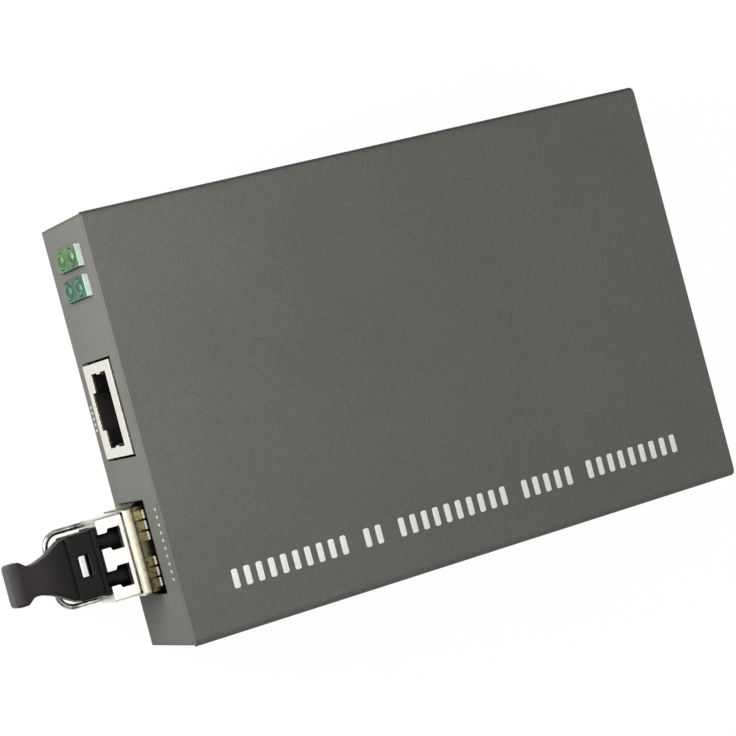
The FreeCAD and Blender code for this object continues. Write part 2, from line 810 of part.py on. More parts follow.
def cage_pin(x, y):
    """One pin under a side wall of the cage, through the main board."""
    return block(span(x, cage_sheet), span(y, cage_pin_width), (board_top - cage_pin_length, board_top))


def finger(rise, width):
    """A shielding finger along +Y from the origin: it lifts to its crest and turns back down at its tip."""
    crest = finger_length * 0.72
    line = [(-0.3, collar_sheet / 2), (0.0, collar_sheet / 2), (crest, rise - collar_sheet / 2),
            (finger_length, rise * 0.55)]
    return prism(strip(line, collar_sheet), in_yz(-width / 2), Vector(width, 0, 0))


def sfp_collar():
    """Sprung collar round the cage: a plain band, then fingers that reach back to the panel opening."""
    y = (cage_front + collar_setback, cage_front + collar_setback + collar_band)
    x = span(cage_x, cage_width + 2 * collar_sheet)
    z = (board_top - collar_sheet, cage_top + collar_sheet)
    band = tube_box(x, y, z, collar_sheet)
    top_row = [s * (2.1 + i * finger_pitch) for s in (-1, 1) for i in range(3)]
    side_row = [(i - 1.5) * finger_pitch for i in range(4)]
    middle = (board_top + cage_top) / 2
    fingers = []
    for offset in top_row:
        for angle, rise, height in ((0, finger_rise_top, cage_top), (180, finger_rise_bottom, board_top)):
            piece = finger(rise, finger_width)
            piece.rotate(Vector(0, 0, 0), Vector(0, 1, 0), angle)
            piece.translate(Vector(cage_x + offset, y[1], height))
            fingers.append(piece)
    for offset in side_row:
        for angle, side in ((90, 1), (-90, -1)):
            piece = finger(finger_rise_side, finger_width)
            piece.rotate(Vector(0, 0, 0), Vector(0, 1, 0), angle)
            piece.translate(Vector(cage_x + side * cage_half, y[1], middle + offset))
            fingers.append(piece)
    return joined([band] + fingers)


def sfp_connector():
    """The cage's board connector: a block on the main board with a slot for the module's board edge."""
    top = board_top + connector_height
    body = block(span(cage_x, connector_width), (connector_front, connector_back), (board_top, top))
    body = chamfered(body, connector_bevel,
                     lambda e: e.BoundBox.ZMin > top - 1e-3 and e.BoundBox.YMax < connector_front + 1e-3)
    card = block(span(cage_x, module_board_width + 2 * slot_fit),
                 (connector_front - 1, connector_front + connector_slot_depth),
                 (module_board_bottom - slot_fit, module_board_bottom + module_board_thickness + slot_fit))
    return body.cut(card)


# ---- fibre module ----
def notch(x, low, high):
    """The latch channel above one fibre port: narrow at the face, wide behind its shoulders."""
    f, r = notch_front_width / 2, notch_rear_width / 2
    near, wide, far = (nose_face + d for d in (notch_shoulder, notch_shoulder + notch_slant, notch_length))
    corners = [
        (x - f, nose_face - 1, 0), (x + f, nose_face - 1, 0), (x + f, near, 0), (x + r, wide, 0),
        (x + r, far, 0), (x - r, far, 0), (x - r, wide, 0), (x - f, near, 0),
    ]
    return prism(corners, in_xy(low), Vector(0, 0, high - low))


def module_housing():
    """Die-cast housing: a broad nose with the fibre window, and a trough behind that holds the board."""
    left, right = cage_x - nose_width / 2, cage_x + nose_width / 2
    nose = prism(
        [(left, nose_bottom, 0), (left, module_top, nose_round),
         (right, module_top, nose_round), (right, nose_bottom, 0)],
        in_xz(nose_face), Vector(0, nose_back - nose_face, 0))
    lip = block(span(cage_x, 2 * nose_lip_half_width), (nose_face - nose_lip, nose_face + module_wall),
                (nose_bottom, nose_bottom + nose_lip_height))
    body = block(span(cage_x, 2 * body_half), (nose_back, housing_back),
                 (module_bottom + pan_sheet, module_top))
    trough = block(span(cage_x, 2 * (body_half - module_wall)), (bulkhead_back, housing_back - module_wall),
                   (module_bottom, module_top - module_wall))
    card_slot = block(span(cage_x, module_board_width + 2 * slot_fit),
                      (housing_back - module_wall - 1, housing_back + 1),
                      (module_bottom, module_board_bottom + module_board_thickness + slot_fit))
    pocket = block(span(cage_x, 2 * (receptacle_half + receptacle_fit)), (nose_face - 0.01, receptacle_back),
                   (receptacle_bottom - receptacle_fit, receptacle_top + receptacle_fit))
    latch_bed = block(span(cage_x, 2 * (latch_width_half + latch_fit)),
                      (latch_front - latch_fit, latch_back + latch_fit),
                      (nose_bottom - 1, latch_top + latch_fit))
    groove = block(span(cage_x, nose_width), (nose_back, nose_back + nose_groove),
                   (module_top - nose_groove_depth, module_top + 1))
    cuts = [trough, card_slot, pocket, latch_bed, groove]
    cuts += [notch(x, receptacle_top, module_top + 1) for x in fibre_ports]
    cuts += [peg(barrel_radius + barrel_fit, Vector(x, receptacle_back - 1, fibre_z),
                 Vector(x, bulkhead_back + 1, fibre_z)) for x in fibre_ports]
    for side in (-1, 1):
        edge = sorted((cage_x + side * (module_half - rebate_width), cage_x + side * nose_width))
        cuts.append(block(edge, (nose_face - 1, nose_back + 0.01),
                          (nose_bottom - 1, nose_bottom + rebate_height)))
        cuts.append(rod(bail_radius + bail_pin_fit,
                        Vector(cage_x + side * (bail_pin_inner_x - 0.2), bail_y, bail_z),
                        Vector(cage_x + side * nose_width, bail_y, bail_z)))
    return joined([nose, lip, body]).cut(cuts)


def module_pan():
    """Sheet pan that closes the module underneath and folds up its sides."""
    front_y = latch_back + 2 * latch_fit
    out, inner = module_half, body_half
    low, floor, high = module_bottom, module_bottom + pan_sheet, module_bottom + pan_side_height
    section = [(-out, high), (-out, low), (out, low), (out, high),
               (inner, high), (inner, floor), (-inner, floor), (-inner, high)]
    return prism([(cage_x + u, v, 0) for u, v in section], in_xz(front_y),
                 Vector(0, housing_back - front_y, 0))


def module_board():
    """The module's board: it runs from the optics to the edge that enters the connector."""
    board = block(span(cage_x, module_board_width), (module_board_front, module_back),
                  (module_board_bottom, module_board_bottom + module_board_thickness))
    return chamfered(board, board_edge_bevel,
                     lambda e: e.BoundBox.YMin > module_back - 1e-3 and e.BoundBox.ZLength < 1e-3)


def lc_receptacle():
    """Moulded insert of the nose: two square ports side by side, each with a latch channel in its roof."""
    body = block(span(cage_x, 2 * receptacle_half), (nose_face, receptacle_back),
                 (receptacle_bottom, receptacle_top))
    cuts = []
    for x in fibre_ports:
        cuts.append(block(span(x, fibre_port_width), (nose_face - 1, receptacle_back - receptacle_end),
                          span(fibre_z, fibre_port_height)))
        cuts.append(peg(barrel_radius + barrel_fit, Vector(x, nose_face, fibre_z),
                        Vector(x, receptacle_back + 1, fibre_z)))
        cuts.append(notch(x, fibre_z, receptacle_top + 1))
    return body.cut(cuts)


def optical_can(x):
    """An optical sub-assembly turned about the port's axis: barrel, seating flange, can and stepped tail."""
    tip = bulkhead_back - bulkhead - barrel_length
    flange = bulkhead_back + can_flange_length
    profile = [
        (tip, 0), (tip, barrel_radius - barrel_bevel), (tip + barrel_bevel, barrel_radius),
        (bulkhead_back, barrel_radius),
        (bulkhead_back, can_radius), (flange, can_radius), (flange, can_waist_radius),
        (flange + can_waist_length, can_waist_radius), (flange + can_waist_length, can_radius),
        (bulkhead_back + can_length, can_radius), (bulkhead_back + can_length, 0),
    ]
    return turned([(y - tip, r) for y, r in profile], Vector(x, tip, fibre_z), Vector(0, 1, 0), 12)


def module_latch():
    """The slide under the nose that the bail draws back, with its wedge for the cage's catch."""
    under = latch_top - latch_thickness
    plate = block(span(cage_x, 2 * latch_width_half), (latch_front, latch_back), (under, latch_top))
    foot = block(span(cage_x, 2 * latch_width_half), (latch_front, nose_back), (nose_bottom, under))
    heel = latch_back - wedge_inset
    wedge = prism([(heel - wedge_length, under, 0), (heel - wedge_flat, module_bottom, 0),
                   (heel, module_bottom, 0), (heel, under, 0)],
                  in_yz(cage_x - wedge_width / 2), Vector(wedge_width, 0, 0))
    return joined([plate, foot, wedge])


def bail_wire():
    """Round wire bent to a U: two pivot ends turned in, two arms, rounded corners and a crossbar."""
    inner, arm, reach = bail_pin_inner_x, bail_arm_x, -bail_reach
    corners = [
        (cage_x - inner, bail_y, 0), (cage_x - arm, bail_y, bail_pin_bend),
        (cage_x - arm, bail_y + reach, bail_corner), (cage_x + arm, bail_y + reach, bail_corner),
        (cage_x + arm, bail_y, bail_pin_bend), (cage_x + inner, bail_y, 0),
    ]
    spine = path(corners, in_xy(bail_z), closed=False)
    start = Vector(cage_x - inner, bail_y, bail_z)
    angles = [(i + 0.5) * 2 * math.pi / bail_facets for i in range(bail_facets)]
    ring = [start.add(Vector(0, bail_radius * math.cos(a), bail_radius * math.sin(a))) for a in angles]
    wire = spine.makePipeShell([Part.makePolygon(ring + ring[:1])], True, False)
    wire.rotate(start, Vector(1, 0, 0), bail_droop)
    return wire


# ---- dust plug ----
def plug_handle():
    """Flat handle seen from above: broad root, sides that curve in to the neck, and a T-shaped grip."""
    root, neck, grip = plug_root_width / 2, plug_neck_width / 2, plug_grip_width / 2
    y_root = plug_face - plug_body_length
    y_neck = plug_face - plug_neck_distance
    y_grip = plug_face - plug_grip_distance
    y_end = y_grip - plug_grip_length
    side = [
        (root, y_root + plug_shoulder, 0), (root, y_root - plug_shoulder, plug_shoulder),
        (plug_waist_width / 2, plug_face - plug_waist_distance, plug_sweep), (neck, y_neck, plug_sweep),
        (neck, y_grip + plug_flare, plug_flare), (grip, y_grip, plug_edge_round),
        (grip, y_end, plug_edge_round),
    ]
    corners = [(cage_x + u, v, r) for u, v, r in side] + [(cage_x - u, v, r) for u, v, r in side[::-1]]
    return prism(corners, in_xy(fibre_z - plug_step_height / 2), Vector(0, 0, plug_step_height))


def dust_plug():
    """One black moulding: two hollow prongs, a windowed hood with a rear ridge, and the handle."""
    body_y = (plug_face - plug_body_length, plug_face)
    half_z = plug_body_height / 2
    half_x = plug_body_width / 2
    body = prism([(cage_x + u * half_x, fibre_z + v * half_z, plug_body_round)
                  for u, v in ((-1, -1), (-1, 1), (1, 1), (1, -1))],
                 in_xz(body_y[0]), Vector(0, plug_body_length, 0))
    ridge = block(span(cage_x, plug_ridge_width), (plug_face - plug_ridge_length, plug_face),
                  (fibre_z - half_z, fibre_z - half_z + plug_ridge_height))
    window_y = plug_face - plug_window_setback - plug_window_length / 2
    window = block(span(cage_x, plug_window_width), span(window_y, plug_window_length),
                   span(fibre_z, 3 * plug_body_height))
    hollow = block(span(cage_x, plug_body_width - 2 * plug_wall),
                   (body_y[0] + plug_wall, plug_face - plug_ridge_length),
                   (fibre_z - half_z - 1, fibre_z + half_z - plug_roof))
    root, tip = plug_face - prong_root, plug_face + prong_length
    prongs = [peg(prong_radius, Vector(x, root, fibre_z), Vector(x, tip, fibre_z)) for x in fibre_ports]
    bores = [peg(prong_bore, Vector(x, plug_face, fibre_z), Vector(x, tip + 1, fibre_z)) for x in fibre_ports]
    return joined([body, ridge, plug_handle()] + prongs).cut([window, hollow] + bores)


# ---- power inlet ----
def dc_inlet_body():
    """Moulded inlet on the board: a block with a round socket that faces the rear panel."""
    y = (inlet_back - inlet_depth, inlet_back)
    body = block(span(inlet_x, inlet_width), y, (board_top, board_top + inlet_height))
    body = chamfered(body, inlet_bevel, lambda e: e.BoundBox.ZMin > board_top + inlet_height - 1e-3
                     and e.BoundBox.XLength < 1e-3)
    mouth = Vector(inlet_x, inlet_back + 1, inlet_z)
    socket = rod(inlet_bore_radius, Vector(inlet_x, inlet_bore_end, inlet_z), mouth)
    pin_hole = peg(inlet_pin_radius + pin_fit,
                   Vector(inlet_x, inlet_bore_end - inlet_pin_tail, inlet_z), mouth)
    spring_slot = block(span(inlet_x, inlet_spring_width + 2 * pin_fit),
                        (inlet_bore_end, inlet_back - inlet_rim), (board_top, inlet_z))
    return body.cut([socket, pin_hole, spring_slot])


def dc_inlet_pin():
    """The inlet's centre pin, with a rounded tip and a tail in the body's back wall."""
    start = Vector(inlet_x, inlet_bore_end - inlet_pin_tail, inlet_z)
    length = inlet_pin_tail + inlet_pin_length
    profile = [(0, 0), (0, inlet_pin_radius), (length - inlet_pin_radius / 2, inlet_pin_radius),
               (length, inlet_pin_radius / 2), (length, 0)]
    return turned(profile, start, Vector(0, 1, 0), 12)


def dc_inlet_spring():
    """The sleeve contact: a bent leaf that stands on the board and rises into the socket from below."""
    y0 = inlet_bore_end + 2 * inlet_spring_sheet
    low = inlet_z - inlet_bore_radius
    line = [(y0, board_top), (y0, low + 0.2), (y0 + 0.63 * inlet_spring_length, low + inlet_spring_rise),
            (y0 + inlet_spring_length, low + 0.1)]
    return prism(strip(line, inlet_spring_sheet, 0.2), in_yz(inlet_x - inlet_spring_width / 2),
                 Vector(inlet_spring_width, 0, 0))


# ---- mode switch ----
def switch_body():
    """Moulded switch block on the board, with one slotted well for each slider."""
    body = block(span(switch_x, 2 * switch_half), (switch_face - switch_depth, switch_face),
                 (board_top, board_top + switch_height))
    middle = board_top + switch_height / 2
    tall = slider_height + slider_travel + 2 * slider_fit
    shoulder = switch_face - slider_stem
    well_end = shoulder - slider_tail_length - 2 * slider_fit
    cuts = []
    for x in slider_centres:
        width = span(x, slider_width + 2 * slider_fit)
        cuts.append(block(width, (shoulder - slider_fit, switch_face + 1), span(middle, tall)))
        cuts.append(block(width, (well_end, shoulder), span(middle, tall + 2 * slider_tail)))
    return body.cut(cuts)


def switch_slider(x):
    """One slider at the low end of its travel: a knob, and a taller foot that its well keeps in."""
    z = slider_low
    heel = switch_face - slider_stem - slider_fit
    tip = switch_face + slider_proud
    knob = block(span(x, slider_width), (heel, tip), span(z, slider_height))
    knob = chamfered(knob, slider_bevel, lambda e: e.BoundBox.YMin > tip - 1e-3)
    foot = block(span(x, slider_width), (heel - slider_tail_length, heel),
                 span(z, slider_height + 2 * slider_tail))
    return joined([foot, knob])


# ---- parts on the main board ----
def chip(x, y, size, legs=leg_count, reach=leg_reach):
    """A moulded package with a bevelled top and bent legs on two sides."""
    width, length, height = size
    top, knee = board_top + height, board_top + height / 2
    body = block(span(x, width), span(y, length), (board_top + chip_lift, top))
    body = chamfered(body, chip_bevel, lambda e: e.BoundBox.ZMin > top - 1e-3)
    pitch = length / (legs + 1)
    pieces = [body]
    for side in (-1, 1):
        root, out = x + side * (width / 2 - leg_reach / 3), x + side * (width / 2 + reach)
        section = strip([(root, knee), (out, knee), (out, board_top)], leg_sheet)
        for i in range(legs):
            start = y - length / 2 + (i + 1) * pitch - leg_width / 2
            pieces.append(prism(section, in_xz(start), Vector(0, leg_width, 0)))
    return joined(pieces)


def power_inductor(x, y):
    """A ferrite drum with a wound waist."""
    rim, waist = inductor_radius, inductor_radius - inductor_waist
    low = [(0, 0), (0, rim), (inductor_flange, rim), (inductor_flange + inductor_waist / 2, waist)]
    profile = low + [(inductor_height - h, r) for h, r in low[::-1]]
    return turned(profile, Vector(x, y, board_top), Vector(0, 0, 1), 16)


def capacitor(x, y):
    """A can capacitor on the board, with the rolled groove near its foot."""
    r, h, g = capacitor_radius, capacitor_height, capacitor_groove
    groove = [(capacitor_foot + i * g, r - g * (i in (1, 2))) for i in range(4)]
    profile = [(0, 0), (0, r)] + groove + [(h - g, r), (h, r - g), (h, 0)]
    return turned(profile, Vector(x, y, board_top), Vector(0, 0, 1), 16)


def crystal(x, y):
    """A low crystal can with round ends on a flat rim."""
    width, length, height = crystal_size
    can = slot(length, width, lambda u, v: Vector(x + v, y + u, board_top), Vector(0, 0, height))
    rim = slot(length + 2 * crystal_rim, width + 2 * crystal_rim,
               lambda u, v: Vector(x + v, y + u, board_top),
               Vector(0, 0, crystal_rim))
    return joined([can, rim])


def build():
    """Every node's shape by name."""
    power_y = inlet_back - inlet_depth - power_gap
    regulator_x = inlet_x - power_pitch
    parts = {
        "base_tray": base_tray(),
        "top_cover": top_cover(),
        "cover_screws": pattern(cover_screw, side_screw_places()),
        "board_standoffs": pattern(standoff, posts),
        "board_screws": pattern(board_screw, posts),
        "main_board": main_board(),
        "rj45_shield": rj45_shield(),
        "rj45_body": rj45_body(),
        "rj45_contacts": rj45_contacts(),
        "sfp_cage": sfp_cage(),
        "sfp_cage_pins": pattern(cage_pin, cage_pin_places()),
        "sfp_collar": sfp_collar(),
        "sfp_connector": sfp_connector(),
        "module_housing": module_housing(),
        "module_pan": module_pan(),
        "module_board": module_board(),
        "lc_receptacle": lc_receptacle(),
        "optical_transmitter": optical_can(fibre_ports[0]),
        "optical_receiver": optical_can(fibre_ports[1]),
        "module_latch": module_latch(),
        "bail_wire": bail_wire(),
        "dust_plug": dust_plug(),
        "dc_inlet_body": dc_inlet_body(),
        "dc_inlet_pin": dc_inlet_pin(),
        "dc_inlet_spring": dc_inlet_spring(),
        "switch_body": switch_body(),
        "magnetics": chip(jack_x, magnetics_y, magnetics_size),
        "converter_chip": chip(jack_x, chip_y, chip_size),
        "regulator_chip": chip(regulator_x, power_y, regulator_size, legs=3),
        "crystal": crystal(jack_x - crystal_offset, chip_y),
        "power_inductor": power_inductor(inlet_x, power_y - inductor_radius),
        "input_capacitor": capacitor(inlet_x + power_pitch / 2, power_y),
        "output_capacitor": capacitor(regulator_x, power_y - power_pitch * 0.75),
    }
    for column, x in enumerate(lamp_columns, 1):
        parts[f"lamp_holder_{column}"] = lamp_holder(x)
        for row, z in zip(("lower", "upper"), lamp_rows):
            parts[f"lamp_{column}_{row}"] = lamp(x, z)
    for i, x in enumerate(slider_centres, 1):
        parts[f"switch_slider_{i}"] = switch_slider(x)
    return parts


os.makedirs("parts", exist_ok=True)
for name, shape in build().items():
    shape.exportStep(f"parts/{name}.step")
    print(f"{name}: {len(shape.Solids)} solid(s), {shape.Volume:.1f} cubic mm, valid {shape.isValid()}")
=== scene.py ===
"""The look of a fibre media converter: its finishes, and the smooth forms of its small parts.

Shapes are worked out in millimetres in the part's own frame: X is the width, -Y the front, +Z up.
"""
import json
import math

import bmesh
import bpy
import numpy as np
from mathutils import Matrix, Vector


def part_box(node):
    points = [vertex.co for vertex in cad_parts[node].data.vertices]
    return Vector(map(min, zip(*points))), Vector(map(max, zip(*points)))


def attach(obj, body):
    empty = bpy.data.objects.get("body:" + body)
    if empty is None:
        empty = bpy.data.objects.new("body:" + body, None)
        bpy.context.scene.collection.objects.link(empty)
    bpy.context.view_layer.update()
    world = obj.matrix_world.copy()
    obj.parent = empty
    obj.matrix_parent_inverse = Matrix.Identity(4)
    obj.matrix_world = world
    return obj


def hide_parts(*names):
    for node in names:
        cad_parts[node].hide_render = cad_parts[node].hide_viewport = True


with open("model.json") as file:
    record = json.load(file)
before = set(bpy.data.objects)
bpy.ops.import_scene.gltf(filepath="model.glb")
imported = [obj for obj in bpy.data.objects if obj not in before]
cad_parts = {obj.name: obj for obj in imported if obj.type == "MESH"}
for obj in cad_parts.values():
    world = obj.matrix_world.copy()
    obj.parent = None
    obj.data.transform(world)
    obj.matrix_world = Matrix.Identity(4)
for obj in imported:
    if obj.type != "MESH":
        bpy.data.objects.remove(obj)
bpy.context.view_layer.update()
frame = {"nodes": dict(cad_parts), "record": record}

scene = bpy.context.scene
MM = 0.001
X, Y, Z = range(3)


# ---- arrays of points ----
edge_steps = 4              # quads across the round of a moulded edge


def corners_of(name):
    """A node's lowest and highest corner in millimetres."""
    low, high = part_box(name)
    return np.array(low) / MM, np.array(high) / MM


def rounded(corners, steps=8, closed=True):
    """Points of a line of straight runs whose (u, v, radius) corners are tangent arcs.

    An arc of radius r at a corner of half-angle h starts r / tan h along each run. Its points turn
    evenly about a centre r / sin h from the corner on the bisector.
    """
    out = []
    count = len(corners)
    for i, (u, v, radius) in enumerate(corners):
        here = np.array([u, v], float)
        if radius <= 0 or (not closed and i in (0, count - 1)):
            out.append(here[None])
            continue
        a = np.array(corners[i - 1][:2], float) - here
        b = np.array(corners[(i + 1) % count][:2], float) - here
        room = 0.499 * min(np.linalg.norm(a), np.linalg.norm(b))    # just under half a run
        a /= np.linalg.norm(a)
        b /= np.linalg.norm(b)
        half = math.acos(np.clip(a @ b, -1, 1)) / 2
        reach = min(radius / math.tan(half), room)
        radius = reach * math.tan(half)
        middle = here + (a + b) / np.linalg.norm(a + b) * radius / math.sin(half)
        start, end = here + a * reach - middle, here + b * reach - middle
        t = np.linspace(0, 1, steps + 1)[:, None]
        turn = math.pi - 2 * half
        arc = (np.sin((1 - t) * turn) * start + np.sin(t * turn) * end) / math.sin(turn)
        out.append(middle + arc)
    return np.concatenate(out)


def rectangle(x, y, width, length, radius, steps=6):
    """A rectangle about (x, y) with rounded corners."""
    signs = ((-1, -1), (1, -1), (1, 1), (-1, 1))
    return rounded([(x + u * width / 2, y + v * length / 2, radius) for u, v in signs], steps)


def outward(line):
    """Unit normals of a closed line of points, to its outside."""
    ahead = np.roll(line, -1, 0) - line
    behind = line - np.roll(line, 1, 0)
    ahead /= np.linalg.norm(ahead, axis=1)[:, None] + 1e-12
    behind /= np.linalg.norm(behind, axis=1)[:, None] + 1e-12
    along = ahead + behind
    along /= np.linalg.norm(along, axis=1)[:, None]
    area = np.sum(line[:, 0] * np.roll(line[:, 1], -1) - np.roll(line[:, 0], -1) * line[:, 1])
    normal = np.stack([along[:, 1], -along[:, 0]], 1)
    return normal * math.copysign(1, area)


def edge_profile(low, high, rounding):
    """(inset, height) up a plate's edge: a quarter circle of inset at each face, straight between.

    The first edge_steps + 1 rows are the lower face's round, and the rest are the upper face's.
    """
    t = np.linspace(0, math.pi / 2, edge_steps + 1)
    inset = rounding * (1 - np.sin(t))
    rise = rounding * (1 - np.cos(t))
    down = np.stack([inset, low + rise], 1)
    up = np.stack([inset[::-1], high - rise[::-1]], 1)
    return np.concatenate([down, up])


def stand(points):
    """(u, v, w) points as (x, y, z): a plan drawing with height."""
    return points


def face_on(points):
    """(u, v, w) points as (x, z) drawings with depth along y."""
    return points[..., [0, 2, 1]]


def plate(outline, low, high, rounding, turn=stand):
    """A plate with flat ends: at each height its outline, moved in along its normals by the inset."""
    profile = edge_profile(low, high, rounding)
    normal = outward(outline)
    flat = outline[None] - normal[None] * profile[:, 0, None, None]
    height = np.broadcast_to(profile[:, 1, None, None], flat.shape[:2] + (1,))
    return {"grid": turn(np.concatenate([flat, height], 2)), "ends": True}


def framed(outer, inner, low, high, rounding, turn):
    """A plate with a window: the edge profile goes up the outer line and back down the inner line."""
    profile = edge_profile(low, high, rounding)
    out = outer[None] - outward(outer)[None] * profile[:, 0, None, None]
    back = inner[None] + outward(inner)[None] * profile[::-1, 0, None, None]
    heights = np.concatenate([profile[:, 1], profile[::-1, 1]])
    flat = np.concatenate([out, back])
    height = np.broadcast_to(heights[:, None, None], flat.shape[:2] + (1,))
    return {"grid": turn(np.concatenate([flat, height], 2)), "loop": True}


def hood(outer, window, hollow, low, under, high, rounding):
    """A block with an open underside and a window through its roof.

    Rows of points go up the outer line, over the roof's rounded rim into the window, down to the
    roof's underside, out to the hollow's line and down its walls.
    """
    profile = edge_profile(low, high, rounding)
    rim = profile[:edge_steps:-1]
    rows = [outer - outward(outer) * inset for inset in profile[:, 0]]
    rows += [window + outward(window) * inset for inset in rim[:, 0]] + [window, hollow, hollow]
    heights = [*profile[:, 1], *rim[:, 1], under, under, low]
    grid = np.stack([np.column_stack([row, np.full(len(row), height)])
                     for row, height in zip(rows, heights)])
    return {"grid": grid, "loop": True}


def turned(profile, start, axis, sides=40, loop=False):
    """(distance, radius) pairs carried round an axis: start + d axis + r (cos a across + sin a other)."""
    profile = np.array(profile, float)
    axis = np.array(axis, float)
    across = np.array([1.0, 0, 0]) if abs(axis[2]) > 0.5 else np.array([0, 0, 1.0])
    other = np.cross(axis, across)
    a = np.linspace(0, 2 * math.pi, sides, endpoint=False)
    ring = np.cos(a)[:, None] * across + np.sin(a)[:, None] * other
    grid = np.array(start) + profile[:, 0, None, None] * axis + profile[:, 1, None, None] * ring
    return {"grid": grid, "loop": loop}


def wire(points, radius, normal, sides):
    """A round wire in one plane: each point plus r (cos a side + sin a normal), side in the plane."""
    points = np.array(points, float)
    along = np.gradient(points, axis=0)
    along /= np.linalg.norm(along, axis=1)[:, None]
    normal = np.array(normal, float)
    side = np.cross(along, normal)
    a = np.linspace(0, 2 * math.pi, sides, endpoint=False)
    ring = np.cos(a)[None, :, None] * side[:, None] + np.sin(a)[None, :, None] * normal
    return {"grid": points[:, None] + radius * ring, "ends": True}


def leaf(line, widths, thickness, origin, out, side):
    """A bent leaf along +Y: a flat section at each (y, rise) of its centre line.

    A section is its width along side, and thin along the bend's normal. The rise is along out.
    """
    line = np.array(line, float)
    along = np.gradient(line, axis=0)
    along /= np.linalg.norm(along, axis=1)[:, None]
    normal = np.stack([-along[:, 1], along[:, 0]], 1)
    out, side = np.array(out, float), np.array(side, float)
    section = np.array([[-1, -1], [1, -1], [1, 1], [-1, 1]], float) * 0.5
    w = section[None, :, 0] * widths[:, None]
    n = section[None, :, 1, None] * thickness * normal[:, None]
    y = (line[:, None, 0] + n[..., 0])[..., None] * np.array([0, 1.0, 0])
    rise = (line[:, None, 1] + n[..., 1])[..., None] * out
    grid = np.array(origin) + w[..., None] * side + y + rise
    return {"grid": grid, "ends": True}


# ---- pieces ----
smooth_angle = 35           # degrees: edges under it are shaded smooth, and sharper ones are eased
flat_angle = 1              # degrees: a node's faces that meet under it are one flat face
doubled = 2e-7              # metres: points of new grids this close are the same point
node_doubled = 1e-6         # and points of a node's mesh
round_steps = 2             # faces across an eased edge
node_body = {name: body for body, names in frame["record"]["behaviour"]["bodies"].items() for name in names}


def faces_of(shape, start):
    """Quads between neighbouring points of a grid, whose rows close round.

    The grid may also loop from its last row to its first, or have a flat face at each end.
    """
    rows, columns = shape["grid"].shape[:2]
    index = start + np.arange(rows * columns).reshape(rows, columns)
    low = index if shape.get("loop") else index[:-1]
    high = np.roll(index, -1, 0) if shape.get("loop") else index[1:]
    quads = np.stack([low, np.roll(low, -1, 1), np.roll(high, -1, 1), high], -1).reshape(-1, 4)
    ends = [index[0][::-1].tolist(), index[-1].tolist()] if shape.get("ends") else []
    return quads.tolist() + ends


def shown(name, mesh, material, smooth, body, replaces):
    """An object of a mesh in its finish, smooth across edges under an angle, riding on a body."""
    mesh.shade_smooth()
    mesh.set_sharp_from_angle(angle=math.radians(smooth))
    mesh.materials.clear()
    mesh.materials.append(material)
    made = bpy.data.objects.new(name, mesh)
    scene.collection.objects.link(made)
    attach(made, body)
    if replaces:
        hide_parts(*replaces)
    return made


def piece(name, shapes, material, body, replaces=(), smooth=smooth_angle):
    """One object from several grids of points, with doubled points merged and faces turned outwards."""
    mesh = bpy.data.meshes.new(name)
    points, faces, start = [], [], 0
    for shape in shapes:
        grid = shape["grid"].reshape(-1, 3)
        points.append(grid)
        faces += faces_of(shape, start)
        start += len(grid)
    mesh.from_pydata(np.concatenate(points) * MM, [], faces)
    work = bmesh.new()
    work.from_mesh(mesh)
    bmesh.ops.remove_doubles(work, verts=work.verts, dist=doubled)
    bmesh.ops.dissolve_degenerate(work, edges=work.edges, dist=doubled)
    bmesh.ops.recalc_face_normals(work, faces=work.faces)
    work.to_mesh(mesh)
    work.free()
    shown(name, mesh, material, smooth, body, replaces)


def eased(name, material, width):
    """A node's own shape with its flat faces merged and its sharp edges eased by a small round."""
    mesh = frame["nodes"][name].data.copy()
    work = bmesh.new()
    work.from_mesh(mesh)
    bmesh.ops.remove_doubles(work, verts=work.verts, dist=node_doubled)
    bmesh.ops.dissolve_limit(work, angle_limit=math.radians(flat_angle), verts=work.verts, edges=work.edges)
    work.to_mesh(mesh)
    work.free()
    made = shown(f"{name}_eased", mesh, material, smooth_angle, node_body[name], (name,))
    bevel = made.modifiers.new("eased_edges", "BEVEL")
    bevel.width = width * MM
    bevel.segments = round_steps
    bevel.limit_method = "ANGLE"
    bevel.angle_limit = math.radians(smooth_angle)
    bevel.harden_normals = True


# ---- shader nodes ----
noise_range = (0.3, 0.7)    # most of a noise's values lie between these
mottle_mm = 20.0            # size of the broad mottle that lies over every grain
mottle_share = 0.4
relief_mm = 0.02            # depth of a grain's relief at full strength


def linear(colour):
    """A colour such as "8a8b87" as linear red, green, blue and alpha."""
    srgb = np.array([int(colour[i:i + 2], 16) for i in (0, 2, 4)]) / 255
    lit = np.where(srgb <= 0.04045, srgb / 12.92, ((srgb + 0.055) / 1.055) ** 2.4)
    return (*lit.tolist(), 1.0)


def add(tree, kind, settings=None, **inputs):
    """Adds a shader node with its settings; each input takes a value or another node's output.

    An input is named as its socket, with _ for a space, or as i and its number.
    """
    made = tree.nodes.new("ShaderNode" + kind)
    for key, value in (settings or {}).items():
        setattr(made, key, value)
    for key, value in inputs.items():
        numbered = key[0] == "i" and key[1:].isdigit()
        socket = made.inputs[int(key[1:]) if numbered else key.replace("_", " ")]
        if isinstance(value, bpy.types.NodeSocket):
            tree.links.new(value, socket)
        else:
            socket.default_value = value
    return made


def ramp(tree, level, colours):
    """A noise's level as a blend of two colours."""
    made = add(tree, "ValToRGB", Fac=level.outputs[0])
    for element, colour, position in zip(made.color_ramp.elements, colours, noise_range):
        element.color = linear(colour)
        element.position = position
    return made


